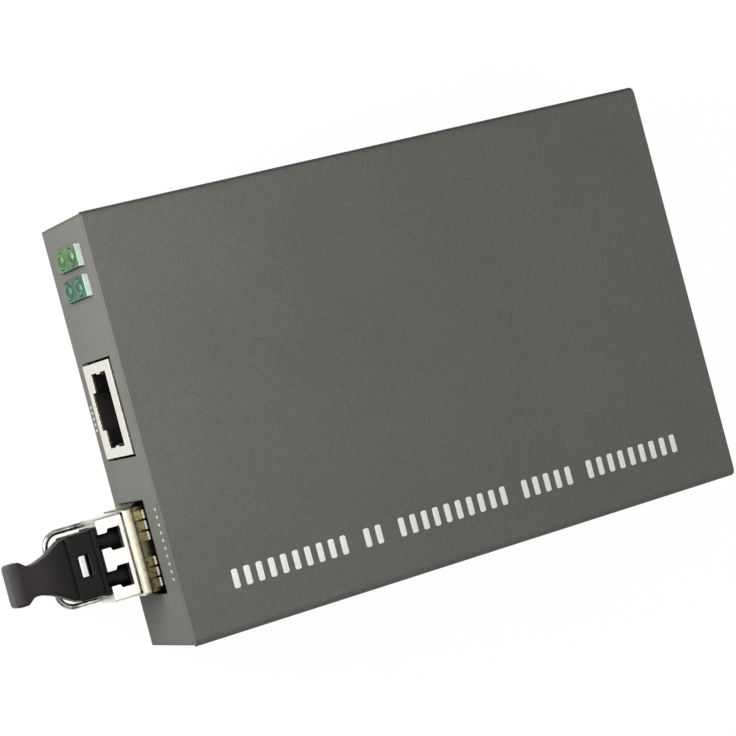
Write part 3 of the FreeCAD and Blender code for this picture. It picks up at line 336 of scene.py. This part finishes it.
def finish(name, grain_mm, colours, roughness, stretch=(1, 1, 1), bump=0.0, bump_mm=None, fades=(),
           **shader):
    """A finish whose colour and roughness follow a noise of a real grain size, which lies in relief.

    Colours are two hex values, and roughness is a (smooth, rough) pair, both spread by the noise.
    Stretch lengthens the grain along an axis where it is under 1. Each fade is (axis, start, end,
    dark, light): between two places in millimetres the colours turn to that other pair.
    """
    material = bpy.data.materials.new(name)
    material.use_nodes = True
    tree = material.node_tree
    surface = tree.nodes["Principled BSDF"]
    for key, value in shader.items():
        surface.inputs[key.replace("_", " ")].default_value = value
    place = add(tree, "TexCoord").outputs["Object"]
    grain = add(tree, "Mapping", Vector=place, Scale=stretch).outputs["Vector"]
    noise = add(tree, "TexNoise", Vector=grain, Scale=1 / (grain_mm * MM), Detail=4.0, Roughness=0.6)
    broad = add(tree, "TexNoise", Vector=place, Scale=1 / (mottle_mm * MM), Detail=2.0)
    mottle = add(tree, "Math", {"operation": "MULTIPLY_ADD"}, i0=broad.outputs[0], i1=mottle_share,
                 i2=-mottle_share / 2)
    level = add(tree, "Math", {"operation": "ADD", "use_clamp": True}, i0=noise.outputs[0],
                i1=mottle.outputs[0])
    colour = ramp(tree, level, colours)
    for axis, start, end, *pair in fades:
        coordinate = add(tree, "SeparateXYZ", Vector=place).outputs[axis]
        share = add(tree, "MapRange", Value=coordinate, i1=start * MM, i2=end * MM)
        other = ramp(tree, level, pair)
        colour = add(tree, "MixRGB", Fac=share.outputs[0], Color1=colour.outputs[0],
                     Color2=other.outputs[0])
    rough = add(tree, "MapRange", Value=level.outputs[0], i1=noise_range[0], i2=noise_range[1],
                i3=roughness[0], i4=roughness[1])
    tree.links.new(colour.outputs[0], surface.inputs["Base Color"])
    tree.links.new(rough.outputs[0], surface.inputs["Roughness"])
    if bump:
        relief = add(tree, "TexNoise", Vector=grain, Scale=1 / ((bump_mm or grain_mm) * MM), Detail=3.0)
        raised = add(tree, "Bump", Strength=bump, Distance=relief_mm * MM, Height=relief.outputs[0])
        tree.links.new(raised.outputs[0], surface.inputs["Normal"])
    return material


# ---- finishes ----
# Places on the part that the fades are worked out from.
cover_low, cover_high = corners_of("top_cover")
cage_low, cage_high = corners_of("sfp_cage")
left, right = cover_low[X], cover_high[X]
cage_front, cage_top = cage_low[Y], cage_high[Z]
plug_end = corners_of("dust_plug")[0][Y]
holder_foot, holder_roof = (corner[Z] for corner in corners_of("lamp_holder_1"))
lens_tip = corners_of("lamp_1_lower")[0][Y]

# Powder-coated steel sheet: a dead, warm grey with a fine orange-peel grain of about 0.3 mm,
# drawn at 0.6 mm so that it shows. It is darkened with painted shade at the panels' cut ends and over
# the cover's fold on the indicators' side, where those edges turn away from the light.
coat = ("60605b", "6b6b66")
# Painted shade: a darker coat for edges that turn away from the light.
painted_edge_shade = ("484845", "50504d")


def powder_coat(name, *fades):
    """The coat on one sheet, with painted shade where its edges turn from the light."""
    return finish(name, 0.6, coat, (0.55, 0.66), bump=0.2, bump_mm=0.5, Specular_IOR_Level=0.2, fades=fades)


tray_coat = powder_coat("powder_coated_tray", (X, left + 0.75, left + 0.45, *painted_edge_shade),
                        (X, right - 0.65, right - 0.4, *painted_edge_shade))
cover_coat = powder_coat("powder_coated_cover", (X, left + 0.65, left + 0.45, *painted_edge_shade),
                         (X, left + 0.15, left + 0.05, *coat))

# Rolled tin plate: bright and a little creamy, with faint rolling lines along its length.
tin_plate = finish("rolled_tin_plate", 0.25, ("dedad0", "f0ede4"), (0.24, 0.36), stretch=(1, 0.08, 1),
                   bump=0.08, Metallic=1.0)

# The cage's own tin: bright along its front edge and olive behind it, then darkened near the panel
# with painted shade, where the opening shades it.
cage_tin = finish("tin_plate_with_painted_shade", 0.35, ("dedad0", "f0ede4"), (0.26, 0.4), stretch=(1, 0.5, 1),
                  bump=0.1, Metallic=1.0,
                  fades=((Y, cage_front + 0.4, cage_front + 0.8, "6b664d", "a39c7c"),
                         (Y, cage_front + 2.2, cage_front + 3.2, "33312a", "4d4a3c")))

# Nickel-plated spring bronze of the collar: a bright band, yellower than tin, then olive fingers
# darkened with painted shade, with a painted highlight on the crests of the top ones. The side
# towards the jack is darkened with painted shade all along.
spring_bronze = finish("nickel_plated_bronze", 0.7, ("e0d9bd", "f5efda"), (0.22, 0.36), bump=0.15,
                       Metallic=1.0,
                       fades=((Y, cage_front + 1.2, cage_front + 1.5, "252116", "6e6748"),
                              (Z, cage_top + 1.1, cage_top + 1.2, "d8d4c0", "f4f1e4"),
                              (X, cage_low[X] + 0.1, cage_low[X] - 0.05, "4f4b38", "7d775c")))

# Nickel-plated zinc casting: pale metal, with the soft dimples of a cast skin.
zinc_casting = finish("nickel_plated_zinc", 0.8, ("e2dfd6", "f4f2ec"), (0.24, 0.36), bump=0.06,
                      Metallic=1.0)

# Polished spring-steel wire: sharp reflections, broken by darker patches painted in as dark reflections.
spring_wire = finish("polished_spring_steel", 1.3, ("4a4845", "e4e2dc"), (0.08, 0.2), bump=0.1,
                     bump_mm=0.5, Metallic=1.0)

# Glass-filled nylon: a warm black with a fine moulded bloom, and a painted sheen that makes it paler
# along the plug's handle and again over the end of its grip.
black_nylon = finish("glass_filled_nylon", 0.35, ("0f0d0d", "1a1716"), (0.34, 0.48), bump=0.25,
                     Specular_IOR_Level=0.12,
                     fades=((Y, plug_end + 9.2, plug_end + 5.2, "231f1e", "2f2b2a"),
                            (Y, plug_end + 1.9, plug_end + 0.5, "3a3836", "4a4846")))

# PBT moulding of the jack, connector, inlet and switch: a flat black with a slight mould texture.
black_pbt = finish("moulded_pbt", 0.3, ("0c0b0a", "161513"), (0.42, 0.55), bump=0.2,
                   Specular_IOR_Level=0.2)

# ABS moulding of the switch knobs: clean white, faintly creamy.
white_abs = finish("moulded_abs", 0.4, ("dddcd6", "efeeea"), (0.35, 0.45), bump=0.1)

# Zinc-plated steel: cool grey with a faint mottle from the plating.
zinc_plate = finish("zinc_plated_steel", 0.5, ("8d9092", "b7b9ba"), (0.26, 0.42), bump=0.1, Metallic=1.0)

# Bright nickel on the cans of the crystal and the optics, and on the inlet's contacts: smooth and
# slightly warm.
bright_nickel = finish("bright_nickel_plate", 0.4, ("b4b0a6", "d6d2c8"), (0.15, 0.26), bump=0.06,
                       Metallic=1.0)

# Hard gold flash over the jack's spring wires: deep yellow, with drawn lines.
gold_flash = finish("hard_gold_plate", 0.15, ("b58a3a", "d9b25c"), (0.18, 0.3), stretch=(1, 0.1, 1),
                    Metallic=1.0)

# Transfer-moulded epoxy of the chips: charcoal with a sandy bloom.
chip_epoxy = finish("moulded_epoxy", 0.25, ("1d1d1e", "2e2e2f"), (0.5, 0.65), bump=0.3)

# Ferrite and its lacquered winding: dark brown-grey, matt where it is sintered.
ferrite = finish("sintered_ferrite", 0.3, ("2a2624", "3d3733"), (0.5, 0.7), bump=0.4)

# Aluminium can of the capacitors: satin, with fine level lines round it.
can_aluminium = finish("satin_aluminium", 0.3, ("a9abae", "cbcdd0"), (0.3, 0.42), stretch=(0.3, 0.3, 1),
                       Metallic=1.0)

# Screen-printed ink: matt white with a slight grain from the coating under it.
print_ink = finish("screen_printed_ink", 0.5, ("ecece8", "fbfbf8"), (0.5, 0.65), bump=0.3)

# The front panel's fine print: the same white in a thinner film, greyed by the coat under it.
thin_ink = finish("thin_screen_printed_ink", 0.5, ("a2a29e", "bcbcb8"), (0.5, 0.65), bump=0.3)

# Solder mask over copper tracks on glass-fibre board: deep green, glossy, with paler patches.
solder_mask = finish("solder_masked_board", 1.2, ("0b3a22", "175232"), (0.22, 0.4), bump=0.3)


def clear_holder(name, deep, bright):
    """Polycarbonate block of a column: green from its lamps, greyer at its foot, with a painted highlight
    on its roof.
    """
    return finish(name, 1.6, (deep, bright), (0.15, 0.3), bump=0.1, Transmission_Weight=0.1, IOR=1.58,
                  Specular_IOR_Level=0.12,
                  fades=((Z, holder_foot + 3.6, holder_foot + 3.1, "45473f", "6d6f63"),
                         (Z, holder_roof - 0.15, holder_roof - 0.05, "c4ddce", "ecf7ef")))


holder_green = clear_holder("clear_polycarbonate_green", "1a3d1c", "4f8045")
holder_teal = clear_holder("clear_polycarbonate_teal", "0d3123", "2f6a53")


def tinted_lens(name, deep, bright):
    """Cast epoxy lens: dark over the chip in its middle, with a painted reflection as a pale ring round it.
    """
    return finish(name, 0.8, (deep, deep), (0.25, 0.35), IOR=1.55, Specular_IOR_Level=0.25,
                  Coat_Weight=0.25, Coat_Roughness=0.25,
                  fades=((Y, lens_tip + 0.1, lens_tip + 0.45, deep, bright),))


lens_green = tinted_lens("tinted_epoxy_green", "24491f", "74a868")
lens_teal = tinted_lens("tinted_epoxy_teal", "0f3a28", "5b9c82")

# ---- folded sheet, mouldings and board parts, each with the width of its eased edges ----
for name, material, width in (
    ("base_tray", tray_coat, 0.12),
    ("top_cover", cover_coat, 0.12),
    ("board_standoffs", zinc_plate, 0.1),
    ("main_board", solder_mask, 0.1),
    ("rj45_shield", tin_plate, 0.08),
    ("rj45_body", black_pbt, 0.1),
    ("rj45_contacts", gold_flash, 0.06),
    ("lamp_holder_1", holder_green, 0.06),
    ("lamp_holder_2", holder_teal, 0.06),
    ("sfp_cage", cage_tin, 0.06),
    ("sfp_cage_pins", tin_plate, 0.06),
    ("sfp_connector", black_pbt, 0.12),
    ("module_housing", zinc_casting, 0.12),
    ("module_pan", tin_plate, 0.06),
    ("module_board", solder_mask, 0.08),
    ("lc_receptacle", black_nylon, 0.08),
    ("optical_transmitter", bright_nickel, 0.08),
    ("optical_receiver", bright_nickel, 0.08),
    ("module_latch", zinc_casting, 0.1),
    ("dc_inlet_body", black_pbt, 0.2),
    ("dc_inlet_pin", bright_nickel, 0.08),
    ("dc_inlet_spring", bright_nickel, 0.06),
    ("switch_body", black_pbt, 0.15),
    ("switch_slider_1", white_abs, 0.1),
    ("switch_slider_2", white_abs, 0.1),
    ("switch_slider_3", white_abs, 0.1),
    ("switch_slider_4", white_abs, 0.1),
    ("magnetics", chip_epoxy, 0.15),
    ("converter_chip", chip_epoxy, 0.08),
    ("regulator_chip", chip_epoxy, 0.08),
    ("crystal", bright_nickel, 0.2),
    ("power_inductor", ferrite, 0.1),
    ("input_capacitor", can_aluminium, 0.15),
    ("output_capacitor", can_aluminium, 0.15),
):
    eased(name, material, width)


# ---- lamps ----
lamp_radius = 1.45
lamp_flange = 0.15          # ring at a lamp's back, beyond its radius
flange_length = 0.8
dome_stretch = 1.5          # dome's length in lengths of the part that stands proud
lead_half = 0.25            # half a lead's thickness
lead_offset = 0.9           # lead's middle from the lamp's
lead_root = 0.2             # lead's start inside the lamp's back
lead_bend = 0.4
lead_sides = 8
dome_rings = 14


def lamp(name, material):
    """A lens turned about its axis, with a flange and two bent leads at its back.

    Its dome is part of an ellipse: proud dome_stretch (1 - cos a) along, radius sin a across.
    """
    low, high = corners_of(name)
    holder_low, holder_high = corners_of("lamp_holder_" + name.split("_")[1])
    x = (low[X] + high[X]) / 2
    z = high[Z] - lamp_radius - lamp_flange
    tip, back = low[Y], holder_high[Y]
    proud = holder_low[Y] - tip
    a = np.linspace(0, math.pi / 2, dome_rings)
    dome = np.stack([proud * dome_stretch * (1 - np.cos(a)), lamp_radius * np.sin(a)], 1)
    length = back - tip
    outer = lamp_radius + lamp_flange
    flange = [(length - flange_length, lamp_radius), (length - flange_length, outer), (length, outer),
              (length, 0)]
    shapes = [turned(np.concatenate([dome, flange]), (x, tip, z), (0, 1, 0))]
    drop = high[Y] - lead_half
    line = rounded([(back - lead_root, z, 0), (drop, z, lead_bend), (drop, low[Z], 0)], closed=False)
    for side in (-1, 1):
        points = np.column_stack([np.full(len(line), x + lead_offset * side), line])
        shapes.append(wire(points, lead_half, (1, 0, 0), lead_sides))
    piece(f"{name}_lens", shapes, material, "case", replaces=(name,))


for column, material in ((1, lens_green), (2, lens_teal)):
    for row in ("lower", "upper"):
        lamp(f"lamp_{column}_{row}", material)

# ---- bail ----
bail_radius = 0.5
bail_pin_x = 4.3            # pin's inner end from the middle
bail_corner = 2.5           # bend of the loop's front corners
bail_bend = 0.8             # bend from an arm into its pin
bail_droop = math.radians(5)
bail_steps = 10             # points along a bend
bail_sides = 20


def bail():
    """Round wire on a U of straight runs and arcs in one plane, drooped about the pivot's axis."""
    joints = frame["record"]["behaviour"]["joints"]
    pivot = next(joint for joint in joints if joint["name"] == "bail_swing")["pos_m"]
    centre = np.array(pivot) / MM
    low, high = corners_of("bail_wire")
    arm = (high[X] - low[X]) / 2 - bail_radius
    reach = (centre[Y] - low[Y] - bail_radius) / math.cos(bail_droop)
    line = [(-bail_pin_x, 0, 0), (-arm, 0, bail_bend), (-arm, -reach, bail_corner),
            (arm, -reach, bail_corner), (arm, 0, bail_bend), (bail_pin_x, 0, 0)]
    flat = rounded(line, bail_steps, closed=False)
    along = np.array([0, math.cos(bail_droop), math.sin(bail_droop)])
    points = centre + flat[:, :1] * np.array([1.0, 0, 0]) + flat[:, 1:] * along
    normal = np.cross([1.0, 0, 0], along)
    piece("bail_wire_polished", [wire(points, bail_radius, normal, bail_sides)], spring_wire, "bail",
          replaces=("bail_wire",), smooth=60)


bail()

# ---- dust plug ----
prong_length = 6.0
prong_pitch = 6.25          # between the two prongs' axes
prong_radius = 2.15
prong_bore = 1.5
prong_root = 0.5            # prong's start inside the hood
prong_bevel = 0.3
prong_sides = 28
plug_width = 10.9
plug_length = 5.0
plug_wall = 0.9
plug_roof = 1.2
plug_corner = 0.4           # corners and edges of the hood
hollow_corner = 0.2
ridge_depth = 0.7           # ridge across the hood's end, against the module's face
ridge_rise = 0.6            # ridge above the roof
ridge_corner = 0.2
window_width = 3.5
window_length = 2.0
window_setback = 1.6
window_corner = 0.25
handle_low = 0.9            # handle above the plug's underside
handle_high = 4.7
handle_rounding = 0.5
shoulder_half = 5.1         # half widths along the handle
waist_half = 3.4
neck_half = 2.6
grip_half = 3.6
grip_length = 2.2
handle_steps = 10           # points along a curve of its sides


def dust_plug():
    """A windowed hood, a ridge, two hollow prongs, and a handle with concave sides and a T-shaped grip."""
    low, high = corners_of("dust_plug")
    x = (low[X] + high[X]) / 2
    end, face = low[Y], high[Y] - prong_length
    bottom, top = low[Z], high[Z]
    roof = top - ridge_rise
    middle = (bottom + roof) / 2
    back = face - plug_length
    window_y = face - window_setback - window_length / 2
    hollow_low, hollow_high = back + plug_wall, face - ridge_depth
    outer = rectangle(x, face - plug_length / 2, plug_width, plug_length, plug_corner)
    window = rectangle(x, window_y, window_width, window_length, window_corner)
    hollow = rectangle(x, (hollow_low + hollow_high) / 2, plug_width - 2 * plug_wall,
                       hollow_high - hollow_low, hollow_corner)
    ridge = rectangle(x, face - ridge_depth / 2, high[X] - low[X], ridge_depth, ridge_corner)
    side = [    # half width, place along Y and corner radius down one side of the handle
        (shoulder_half, back + 0.5, 0), (shoulder_half, back - 0.5, 0.5), (waist_half, face - 8.3, 4.0),
        (neck_half, face - 10.6, 4.0), (neck_half, face - 12.0, 1.2), (grip_half, end + grip_length, 0.6),
        (grip_half, end, 0.7),
    ]
    both = [(x + u, v, r) for u, v, r in side] + [(x - u, v, r) for u, v, r in side[::-1]]
    handle = rounded(both, handle_steps)
    shapes = [
        hood(outer, window, hollow, bottom, roof - plug_roof, roof, plug_corner),
        plate(ridge, bottom, top, ridge_corner),
        plate(handle, bottom + handle_low, bottom + handle_high, handle_rounding),
    ]
    wall = [(-prong_root, prong_radius), (prong_length - prong_bevel, prong_radius),
            (prong_length, prong_radius - prong_bevel), (prong_length, prong_bore), (0, prong_bore),
            (-prong_root, prong_bore)]
    for offset in (-prong_pitch / 2, prong_pitch / 2):
        shapes.append(turned(wall, (x + offset, face, middle), (0, 1, 0), prong_sides, loop=True))
    piece("dust_plug_moulding", shapes, black_nylon, "plug", replaces=("dust_plug",))


dust_plug()

# ---- spring collar ----
collar_sheet = 0.2
collar_band = 1.6
collar_edge = 0.09          # round of the band's edges
outer_corner = 0.5
inner_corner = 0.3
finger_width = 1.45
finger_taper = 0.5          # how much narrower a finger's tip is
taper_start = 0.6           # where along a finger the taper starts
finger_root = 0.15          # finger's start inside the band
finger_pitch = 1.8
finger_points = 12          # along its length
first_finger = 2.1          # nearest fingers of the top and bottom, from the middle
top_rise = 1.0
bottom_rise = 0.35
side_rise = 0.5


def collar():
    """A rolled band round the cage, then leaves along +Y that rise and turn down again at the tip.

    At a share t of its length a leaf stands rise sin(0.8 pi t**1.2)**1.3 off the cage.
    """
    low, high = corners_of("sfp_collar")
    x = (cage_low[X] + cage_high[X]) / 2
    bottom, top = cage_low[Z], cage_high[Z]
    middle = (bottom + top) / 2
    front = low[Y]
    across, tall = cage_high[X] - cage_low[X], top - bottom
    outer = rectangle(x, middle, across + 2 * collar_sheet, tall + 2 * collar_sheet, outer_corner)
    inner = rectangle(x, middle, across, tall, inner_corner)
    shapes = [framed(outer, inner, front, front + collar_band, collar_edge, face_on)]
    t = np.linspace(0, 1, finger_points)
    length = high[Y] - front - collar_band
    start = front + collar_band - finger_root
    widths = finger_width - finger_taper * np.clip(t - taper_start, 0, 1) / (1 - taper_start)

    def finger(rise, origin, out, side):
        height = rise * np.sin(t ** 1.2 * 0.8 * math.pi) ** 1.3
        line = np.stack([length * t, collar_sheet / 2 + height], 1)
        shapes.append(leaf(line, widths, collar_sheet, origin, out, side))

    for offset in [s * (first_finger + i * finger_pitch) for s in (-1, 1) for i in range(3)]:
        finger(top_rise, (x + offset, start, top), (0, 0, 1), (1, 0, 0))
        finger(bottom_rise, (x + offset, start, bottom), (0, 0, -1), (-1, 0, 0))
    for offset in [(i - 1.5) * finger_pitch for i in range(4)]:
        for side in (-1, 1):
            origin = (x + side * across / 2, start, middle + offset)
            finger(side_rise, origin, (side, 0, 0), (0, 0, side))
    piece("sfp_collar_sprung", shapes, spring_bronze, "case", replaces=("sfp_collar",),
          smooth=30)


collar()

# ---- screws ----
head_radius = 2.7
shank_radius = 1.4
cover_screw_length = 4.0
countersink_depth = 1.0
pan_height = 1.6
pan_bevel = 0.6
recess_depth = 0.9
recess_reach = 0.62         # cross's half length in radii of the head's flat top
recess_start = 1.1          # where the sink starts, in half widths of an arm
recess_run = 0.35           # how far in it takes to reach its depth
cover_arm, board_arm = 0.42, 0.36   # half widths of a cross's arms
head_rings = 22             # of points across the flat top
head_sides = 72


def cross_head(start, axis, radius, profile, arm):
    """A turned screw with a cross sunk in its flat top.

    The sink is depth clip((start - near) / run, 0, 1)**0.8, where near is 1 along the cross's outline.
    """
    rings = np.linspace(0, 1, head_rings)
    top = np.stack([np.zeros(len(rings)), rings * radius], 1)
    grid = turned(np.concatenate([top, profile]), (0, 0, 0), (0, 0, 1), head_sides)["grid"]
    cap = grid[:len(rings)]
    u, v = np.abs(cap[..., X]), np.abs(cap[..., Y])
    reach = radius * recess_reach
    near = np.minimum(np.maximum(u / arm, v / reach), np.maximum(v / arm, u / reach))
    cap[..., Z] += recess_depth * np.clip((recess_start - near) / recess_run, 0, 1) ** 0.8
    axis = np.array(axis, float)
    across = np.array([0, 1.0, 0]) if abs(axis[X]) > 0.5 else np.array([1.0, 0, 0])
    other = np.cross(axis, across)
    grid = np.array(start) + grid[..., :1] * across + grid[..., 1:2] * other + grid[..., 2:] * axis
    return {"grid": grid}


def cover_screws():
    """Four countersunk heads level with the cover's sides, each on its shank."""
    low, high = corners_of("cover_screws")
    z = (low[Z] + high[Z]) / 2
    profile = [(countersink_depth, shank_radius), (cover_screw_length, shank_radius),
               (cover_screw_length, 0)]
    shapes = [cross_head((edge, y, z), (-math.copysign(1, edge), 0, 0), head_radius, profile, cover_arm)
              for edge in (low[X], high[X]) for y in (low[Y] + head_radius, high[Y] - head_radius)]
    piece("cover_screws_cross", shapes, zinc_plate, "case", replaces=("cover_screws",),
          smooth=30)


def board_screws():
    """Four pan heads on the board, each with its thread down into the standoff."""
    low, high = corners_of("board_screws")
    length = high[Z] - low[Z]
    profile = [(pan_bevel, head_radius), (pan_height, head_radius), (pan_height, shank_radius),
               (length, shank_radius), (length, 0)]
    shapes = [cross_head((x, y, high[Z]), (0, 0, -1), head_radius - pan_bevel, profile, board_arm)
              for x in (low[X] + head_radius, high[X] - head_radius)
              for y in (low[Y] + head_radius, high[Y] - head_radius)]
    piece("board_screws_cross", shapes, zinc_plate, "case", replaces=("board_screws",),
          smooth=30)


cover_screws()
board_screws()

# ---- printed marks ----
ink = 0.03                  # thickness of the ink
ink_root = 0.01             # ink's start inside the coat
ink_edge = 0.01             # round of its edges
corner_share = 0.3          # corner radius in widths of a bar
corner_steps = 3


def bars(name, places, width, height, turn, level, material):
    """Rounded bars of ink about (u, v) centres on a face, each a thin plate."""
    corner = corner_share * min(width, height)
    shapes = [plate(rectangle(u, v, width, height, corner, corner_steps), *level, ink_edge, turn)
              for u, v in places]
    piece(name, shapes, material, "case")


# One line of bars runs back along the top.
mark_x = 27.5
mark_start = -44.5          # first bar along Y
mark_pitch = 2.24
mark_length = 3.2
mark_width = 1.1
mark_groups = (10, 2, 10, 5, 9)     # bars in each group, with one place free between groups
places, taken = [], 0
for count in mark_groups:
    places += [(mark_x, mark_start + (taken + i) * mark_pitch) for i in range(count)]
    taken += count + 1
top_level = (cover_high[Z] - ink_root, cover_high[Z] + ink)
bars("top_marks", places, mark_length, mark_width, stand, top_level, print_ink)

# The panel has a row above the module and one below the jack.
panel = corners_of("base_tray")[0][Y]
panel_level = (panel - ink, panel + ink_root)
for name, count, first_x, pitch, z, width, height in (
    ("module_marks", 10, 13.2, 1.3, 19.6, 0.5, 0.8),
    ("jack_marks", 5, -5.4, 1.0, 2.3, 0.45, 1.0),
):
    places = [(first_x + i * pitch, z) for i in range(count)]
    bars(name, places, width, height, face_on, panel_level, thin_ink)

# ---- floor and world ----
floor_half = 3.0            # metres
table_colour = "c8c8c6"
table_roughness = 0.9
white_share = 0.92          # of the table's look, where it is seen straight or in a reflection
white_glow = 1.05
world_diffuse = 0.22        # the world's strength as a light
world_glossy = 0.5          # and in reflections

floor_corners = [(x * floor_half, y * floor_half, 0) for x, y in ((-1, -1), (1, -1), (1, 1), (-1, 1))]
floor_mesh = bpy.data.meshes.new("floor")
floor_mesh.from_pydata(floor_corners, [], [(0, 1, 2, 3)])
floor = bpy.data.objects.new("floor", floor_mesh)
scene.collection.objects.link(floor)

# A pale grey table top: white to the camera and in reflections, but for the object's soft shadow.
table_top = bpy.data.materials.new("pale_table_top")
table_top.use_nodes = True
tree = table_top.node_tree
table = tree.nodes["Principled BSDF"]
table.inputs["Base Color"].default_value = linear(table_colour)
table.inputs["Roughness"].default_value = table_roughness
rays = add(tree, "LightPath")
seen = add(tree, "Math", {"operation": "MAXIMUM"}, i0=rays.outputs["Is Camera Ray"],
           i1=rays.outputs["Is Glossy Ray"])
share = add(tree, "Math", {"operation": "MULTIPLY"}, i0=seen.outputs[0], i1=white_share)
glow = add(tree, "Emission", Color=(1, 1, 1, 1), Strength=white_glow)
mix = add(tree, "MixShader", Fac=share.outputs[0], i1=table.outputs[0], i2=glow.outputs[0])
tree.links.new(mix.outputs[0], tree.nodes["Material Output"].inputs["Surface"])
floor_mesh.materials.append(table_top)

# A plain studio: white as the backdrop and through clear parts, half as bright in reflections, and
# dimmer still as a light.
world = bpy.data.worlds.new("studio")
scene.world = world
world.use_nodes = True
tree = world.node_tree
backdrop = tree.nodes["Background"]
rays = add(tree, "LightPath")
mirrored = add(tree, "MapRange", Value=rays.outputs["Is Glossy Ray"], i3=world_diffuse, i4=world_glossy)
direct = add(tree, "Math", {"operation": "MAXIMUM"}, i0=rays.outputs["Is Camera Ray"],
             i1=rays.outputs["Is Transmission Ray"])
strength = add(tree, "Math", {"operation": "MAXIMUM"}, i0=direct.outputs[0], i1=mirrored.outputs[0])
tree.links.new(strength.outputs[0], backdrop.inputs["Strength"])
backdrop.inputs["Color"].default_value = (1, 1, 1, 1)


# ---- lights and camera ----
def softbox(name, place, target, size, power):
    """A square area lamp, in metres and watts, that faces a point."""
    light = bpy.data.lights.new(name, "AREA")
    light.size = size
    light.energy = power
    made = bpy.data.objects.new(name, light)
    scene.collection.objects.link(made)
    made.location = place
    away = np.array(place) - np.array(target)
    tilt = math.atan2(math.hypot(away[X], away[Y]), away[Z])
    made.rotation_euler = (tilt, 0, math.atan2(away[X], -away[Y]))


softbox("top_softbox", (0.05, 0.2, 0.7), (0, 0.02, 0.02), 1.0, 3.2)
softbox("front_softbox", (-0.04, -0.15, 0.06), (-0.02, -0.055, 0.01), 0.1, 0.2)

camera_data = bpy.data.cameras.new("camera")
camera_data.sensor_width = 36.0
camera_data.lens = 115.87
camera = bpy.data.objects.new("camera", camera_data)
scene.collection.objects.link(camera)
camera.location = (-0.00425, -0.1854, 0.3807)
camera.rotation_euler = (math.radians(6.521), math.radians(-25.067), math.radians(73.435))
scene.camera = camera

scene.view_settings.view_transform = "Standard"
